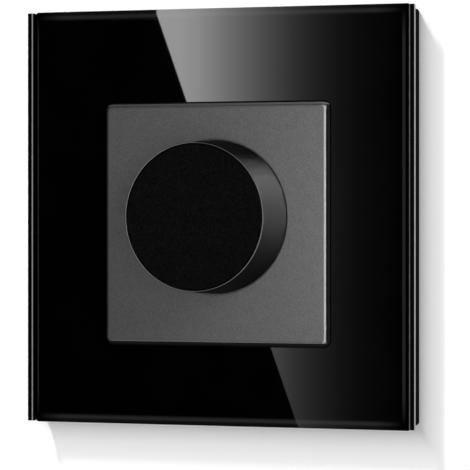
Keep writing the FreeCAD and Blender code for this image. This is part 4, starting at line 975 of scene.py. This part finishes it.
wall_finish = bpy.data.materials.new("white_wall")
tree = empty_tree(wall_finish)
matte = add(tree, "ShaderNodeBsdfDiffuse")
feed(matte.inputs["Color"], (WALL_GREY, WALL_GREY, WALL_GREY))
glow = add(tree, "ShaderNodeEmission")
feed(glow.inputs["Strength"], sum_of("MULTIPLY", seen_directly(tree), WALL_GLOW))
front = add(tree, "ShaderNodeAddShader")
feed(front.inputs[0], matte.outputs[0])
feed(front.inputs[1], glow.outputs[0])
behind = add(tree, "ShaderNodeNewGeometry").outputs["Backfacing"]
clear = add(tree, "ShaderNodeBsdfTransparent").outputs[0]
one_sided = choice(behind, front.outputs[0], clear)
feed(add(tree, "ShaderNodeOutputMaterial").inputs["Surface"], one_sided)
wall.data.materials.append(wall_finish)
print("the wall faces", tuple(wall.data.polygons[0].normal))

# %% [markdown]
# ## The room around it
#
# Black glass shows the room more than itself. The room is a world whose brightness depends on the direction:
# around the horizon it has a dark gap, just where the camera looks in the glass, so that the glass stays
# black, with softly lit parts on both sides of the gap. Above and below the horizon there is a bright zone
# that fades towards the zenith, and it draws the soft lines along the glass's polished edges. This room is
# for mirror rays. Matte surfaces get an even, dim white, and the camera sees a plain white backdrop.

# %% World
HORIZON_STOPS = (
    (-180, 0.6),
    (-110, 0.45),
    (-90, 0.5),
    (-70, 0.5),
    (-58, 0.09),
    (-34, 0.03),
    (-29, 0.0),
    (-12, 0.0),
    (4, 0.4),
    (24, 0.5),
    (60, 0.25),
    (90, 0.4),
    (180, 0.6),
)
RISE_STOPS = ((0.0, 0.0), (0.06, 0.03), (0.17, 0.16), (0.34, 0.44), (0.5, 0.42), (0.73, 0.24), (1.0, 0.08))
RISE_TAKES_OVER = ((0.06, 0.0), (0.3, 1.0))
AMBIENT_LEVEL = 0.16
FULL_TURN = 360
WHITE = (1.0, 1.0, 1.0)


def background(tree, colour, strength=1.0):
    """A world's background shader."""
    node = add(tree, "ShaderNodeBackground")
    feed(node.inputs["Color"], colour)
    node.inputs["Strength"].default_value = strength
    return node.outputs[0]


world = bpy.data.worlds.new("studio")
bpy.context.scene.world = world
tree = empty_tree(world)
direction = axes_of(add(tree, "ShaderNodeTexCoord").outputs["Generated"])
azimuth = sum_of("ARCTAN2", direction["X"], sum_of("MULTIPLY", direction["Y"], -1.0))
turn = sum_of("MULTIPLY_ADD", azimuth, 0.5 / math.pi, 0.5)
around = ramp(turn, [(degrees / FULL_TURN + 0.5, level) for degrees, level in HORIZON_STOPS])
rise = sum_of("ABSOLUTE", direction["Z"])
room = blend(ramp(rise, RISE_TAKES_OVER), around, ramp(rise, RISE_STOPS))
ray = add(tree, "ShaderNodeLightPath").outputs
ambient = background(tree, WHITE, AMBIENT_LEVEL)
unseen = choice(ray["Is Diffuse Ray"], background(tree, room), ambient)
seen = choice(ray["Is Camera Ray"], unseen, background(tree, WHITE))
feed(add(tree, "ShaderNodeOutputWorld").inputs["Surface"], seen)
gap = [degrees for degrees, level in HORIZON_STOPS if level == 0.0]
print("the room is dark between azimuths", gap[0], "and", gap[-1])

# %% [markdown]
# ## The reflection in the glass
#
# In the picture a pale panel is mirrored in the glass. Its left edge runs slantwise down the picture, and to
# the right it fades out. A mirror shows where such a panel must stand: the ray through a pixel meets the
# glass, and goes on with its Y direction turned round. Four pixels give the panel's four corners in this way.

# %% Mirror geometry
PANEL_AWAY = 500 * MM
PANEL_TOP_LEFT = (155.0, 9.0)
PANEL_BOTTOM_LEFT = (299.0, 430.0)
PANEL_MIDDLE_PIXEL = (235.0, 217.0)
PANEL_RIGHT = 400.0
PANEL_SPARE = 150.0

camera_right = Vector((math.cos(VIEW_AZIMUTH), math.sin(VIEW_AZIMUTH), 0))


def mirrored(pixel):
    """Where the ray through a pixel meets the glass, and the direction in which it goes on."""
    across = camera_right * ((pixel[0] - AXIS_PIXEL_X) / FOCAL_PIXELS)
    up = Vector((0, 0, (AXIS_PIXEL_Y - pixel[1]) / FOCAL_PIXELS))
    ray = (across + up - towards_camera).normalized()
    point = camera_place + ray * ((glass_low.y - camera_place.y) / ray.y)
    return point, Vector((ray.x, -ray.y, ray.z))


middle_point, panel_axis = mirrored(PANEL_MIDDLE_PIXEL)
panel_centre = middle_point + panel_axis * PANEL_AWAY


def on_panel(x, y):
    """The point of the panel's plane that the glass shows at a pixel."""
    point, ray = mirrored((x, y))
    return point + ray * ((panel_centre - point).dot(panel_axis) / ray.dot(panel_axis))


slant = (PANEL_BOTTOM_LEFT[0] - PANEL_TOP_LEFT[0]) / (PANEL_BOTTOM_LEFT[1] - PANEL_TOP_LEFT[1])
high_y = PANEL_TOP_LEFT[1] - PANEL_SPARE
low_y = PANEL_BOTTOM_LEFT[1] + PANEL_SPARE
panel_corners = [
    on_panel(PANEL_BOTTOM_LEFT[0] + slant * PANEL_SPARE, low_y),
    on_panel(PANEL_RIGHT, low_y),
    on_panel(PANEL_RIGHT, high_y),
    on_panel(PANEL_TOP_LEFT[0] - slant * PANEL_SPARE, high_y),
]
print("panel centre at", [round(value, 3) for value in panel_centre])

# %% [markdown]
# The panel is one flat face between those corners. Its light falls off from left to right, as listed by
# pixel, and the place along its width picks the level. It is seen by mirror rays only, so it adds no light to
# the rest.

# %% Reflection panel
PANEL_PEAK = 7.4
PANEL_LEVELS = (
    (160, 1.0),
    (180, 0.966),
    (196, 0.844),
    (212, 0.675),
    (228, 0.497),
    (244, 0.366),
    (260, 0.25),
    (276, 0.166),
    (292, 0.1),
    (308, 0.058),
    (324, 0.034),
    (340, 0.019),
    (356, 0.01),
    (372, 0.0056),
    (388, 0.003),
    (399, 0.0),
)

panel = flat_face("reflection_panel", panel_corners)
panel.visible_camera = False
panel.visible_diffuse = False
panel.visible_shadow = False
panel.visible_transmission = False

panel_finish = bpy.data.materials.new("reflection_panel")
tree = empty_tree(panel_finish)
first_pixel = PANEL_LEVELS[0][0]
panel_left = on_panel(first_pixel, PANEL_MIDDLE_PIXEL[1])
panel_span = on_panel(PANEL_RIGHT, PANEL_MIDDLE_PIXEL[1]) - panel_left
off = add(tree, "ShaderNodeVectorMath", operation="SUBTRACT")
feed(off.inputs[0], place_of(tree))
off.inputs[1].default_value = panel_left
along = add(tree, "ShaderNodeVectorMath", operation="DOT_PRODUCT")
feed(along.inputs[0], off.outputs[0])
along.inputs[1].default_value = panel_span / panel_span.length_squared
stops = [((x - first_pixel) / (PANEL_RIGHT - first_pixel), level) for x, level in PANEL_LEVELS]
light = add(tree, "ShaderNodeEmission")
feed(light.inputs["Color"], ramp(along.outputs["Value"], stops))
light.inputs["Strength"].default_value = PANEL_PEAK
feed(add(tree, "ShaderNodeOutputMaterial").inputs["Surface"], light.outputs[0])
panel.data.materials.append(panel_finish)
print("panel", round(panel_span.length, 3), "m wide")

# %% [markdown]
# ## The lamps
#
# Every lamp here is a rectangle that points at a target. Light linking says what each may light, through a
# collection of objects, or through one that stands for everything but some objects.

# %% What lamps may light


def linked(name, state, *things):
    """A collection that stands for some objects, or for everything except them."""
    group = bpy.data.collections.new(name)
    for thing in things:
        group.objects.link(thing)
    for entry in group.collection_objects:
        entry.light_linking.link_state = state
    return group


wall_only = linked("wall_only", "INCLUDE", wall)
knob_only = linked("knob_only", "INCLUDE", nodes["knob"])
plate_only = linked("plate_only", "INCLUDE", nodes["centre_plate"])
all_but_wall = linked("all_but_wall", "EXCLUDE", wall)
all_but_knob = linked("all_but_knob", "EXCLUDE", nodes["knob"], nodes["knob_face"])
all_but_both = linked("all_but_wall_and_knob", "EXCLUDE", wall, nodes["knob"], nodes["knob_face"])


def lamp(name, place, size, power, target, lights, mirrored_too, roll=0.0):
    """A rectangular lamp that points at a target, linked to what it may light."""
    data = bpy.data.lights.new(name, "AREA")
    data.shape = "RECTANGLE"
    data.size, data.size_y = size
    data.energy = power
    item = in_scene(name, data)
    aim = (Vector(target) - Vector(place)).to_track_quat("-Z", "Y").to_matrix()
    item.matrix_world = Matrix.Translation(place) @ (aim @ Matrix.Rotation(roll, 3, "Z")).to_4x4()
    item.light_linking.receiver_collection = lights
    item.visible_camera = False
    item.visible_glossy = mirrored_too
    return item


print("light linking is ready")

# %% [markdown]
# Four long lamps light the wall alone, each with its own share. Together they reach from straight ahead to
# the upper left, so the shadow lies to the right and below, and it grows paler away from the base. Each is
# given by the directions of its two ends, as shifts to the right and up for one unit of depth.

# %% Wall lamps
WALL_LAMP_AWAY = 3.0
WALL_LAMPS = (
    ("wall_lamp_front", (0.16, 0.0), (-0.38, 0.84), 0.1, 0.31),
    ("wall_lamp_middle", (-0.42, 0.62), (-0.58, 1.02), 0.12, 0.05),
    ("wall_lamp_high", (-0.58, 1.02), (-0.71, 1.42), 0.12, 0.06),
    ("wall_lamp_highest", (-0.71, 1.42), (-0.83, 1.85), 0.12, 0.21),
)


def wall_lamp(name, start, end, width, share):
    """A long lamp parallel to the wall, which gives it a share of its full brightness."""
    low = Vector((start[0], -1, start[1])) * WALL_LAMP_AWAY
    high = Vector((end[0], -1, end[1])) * WALL_LAMP_AWAY
    middle = (low + high) / 2
    run = high - low
    power = share * (math.pi * middle.length_squared / WALL_LAMP_AWAY) ** 2 / WALL_GREY
    size = (run.length, width * WALL_LAMP_AWAY)
    straight = middle + Vector((0, 1, 0))
    return lamp(name, middle, size, power, straight, wall_only, True, math.atan2(run.z, run.x))


for values in WALL_LAMPS:
    wall_lamp(*values)
print(len(WALL_LAMPS), "wall lamps give", round(sum(values[4] for values in WALL_LAMPS), 2), "of white")

# %% [markdown]
# The dimmer has lamps of its own: a weak one in front, and a near one and a key lamp on the right that leave
# the knob out. The picture has no shadow of the knob on the plate, so the knob doesn't block the near one's
# light. Two narrow beams light the knob alone and draw the highlight down its wall. Two thin lamps graze the
# centre plate's right and lower edges, and two large ones stand behind for the views from there.

# %% Dimmer lamps
MIDDLE = (0.0, 0.0, 0.0)
RIGHT_EDGE = (0.0242, -0.0062, 0.0)
LOWER_EDGE = (0.0, -0.0062, -0.026)
BEAM_PLACE = (0.0958, -0.02, 0.0545)
BEAM_SIZE = (0.03, 0.002)
BEAM_HIGH_TARGET = (0.0132, -0.012, 0.0082)
BEAM_LOW_TARGET = (0.0154, -0.012, 0.0019)
BEAM_WIDTHS = {"knob_lamp_high": 7.2, "knob_lamp_low": 10.8}
DIMMER_LAMPS = (
    ("near_lamp", (0.066, -0.056, 0.002), (0.02, 0.07), 0.049, MIDDLE, all_but_both, False),
    ("front_lamp", (0.08, -0.20, -0.02), (0.1, 0.1), 0.095, MIDDLE, all_but_wall, False),
    ("key_lamp", (0.26, -0.075, 0.15), (0.14, 0.14), 0.45, MIDDLE, all_but_both, True),
    ("knob_lamp_high", BEAM_PLACE, BEAM_SIZE, 0.0071, BEAM_HIGH_TARGET, knob_only, False),
    ("knob_lamp_low", BEAM_PLACE, BEAM_SIZE, 0.0083, BEAM_LOW_TARGET, knob_only, False),
    ("edge_lamp", (0.15, -0.0063, 0.0), (0.001, 0.07), 0.8, RIGHT_EDGE, plate_only, False),
    ("lower_edge_lamp", (0.0, -0.0063, -0.15), (0.07, 0.001), 0.15, LOWER_EDGE, plate_only, False),
    ("rear_lamp", (0.5, 0.7, 0.6), (0.6, 0.6), 12.0, MIDDLE, all_but_wall, True),
    ("rear_fill", (-0.6, 0.6, 0.1), (1.3, 1.3), 6.0, MIDDLE, all_but_wall, True),
)

dimmer_lamps = {values[0]: lamp(*values) for values in DIMMER_LAMPS}
dimmer_lamps["near_lamp"].light_linking.blocker_collection = all_but_knob
for name, width in BEAM_WIDTHS.items():
    dimmer_lamps[name].data.spread = math.radians(width)
print(len(dimmer_lamps), "lamps light the dimmer")

# %% [markdown]
# ## Last settings
#
# The Standard view shows a colour as it was written.

# %% Finish
bpy.context.scene.view_settings.view_transform = "Standard"
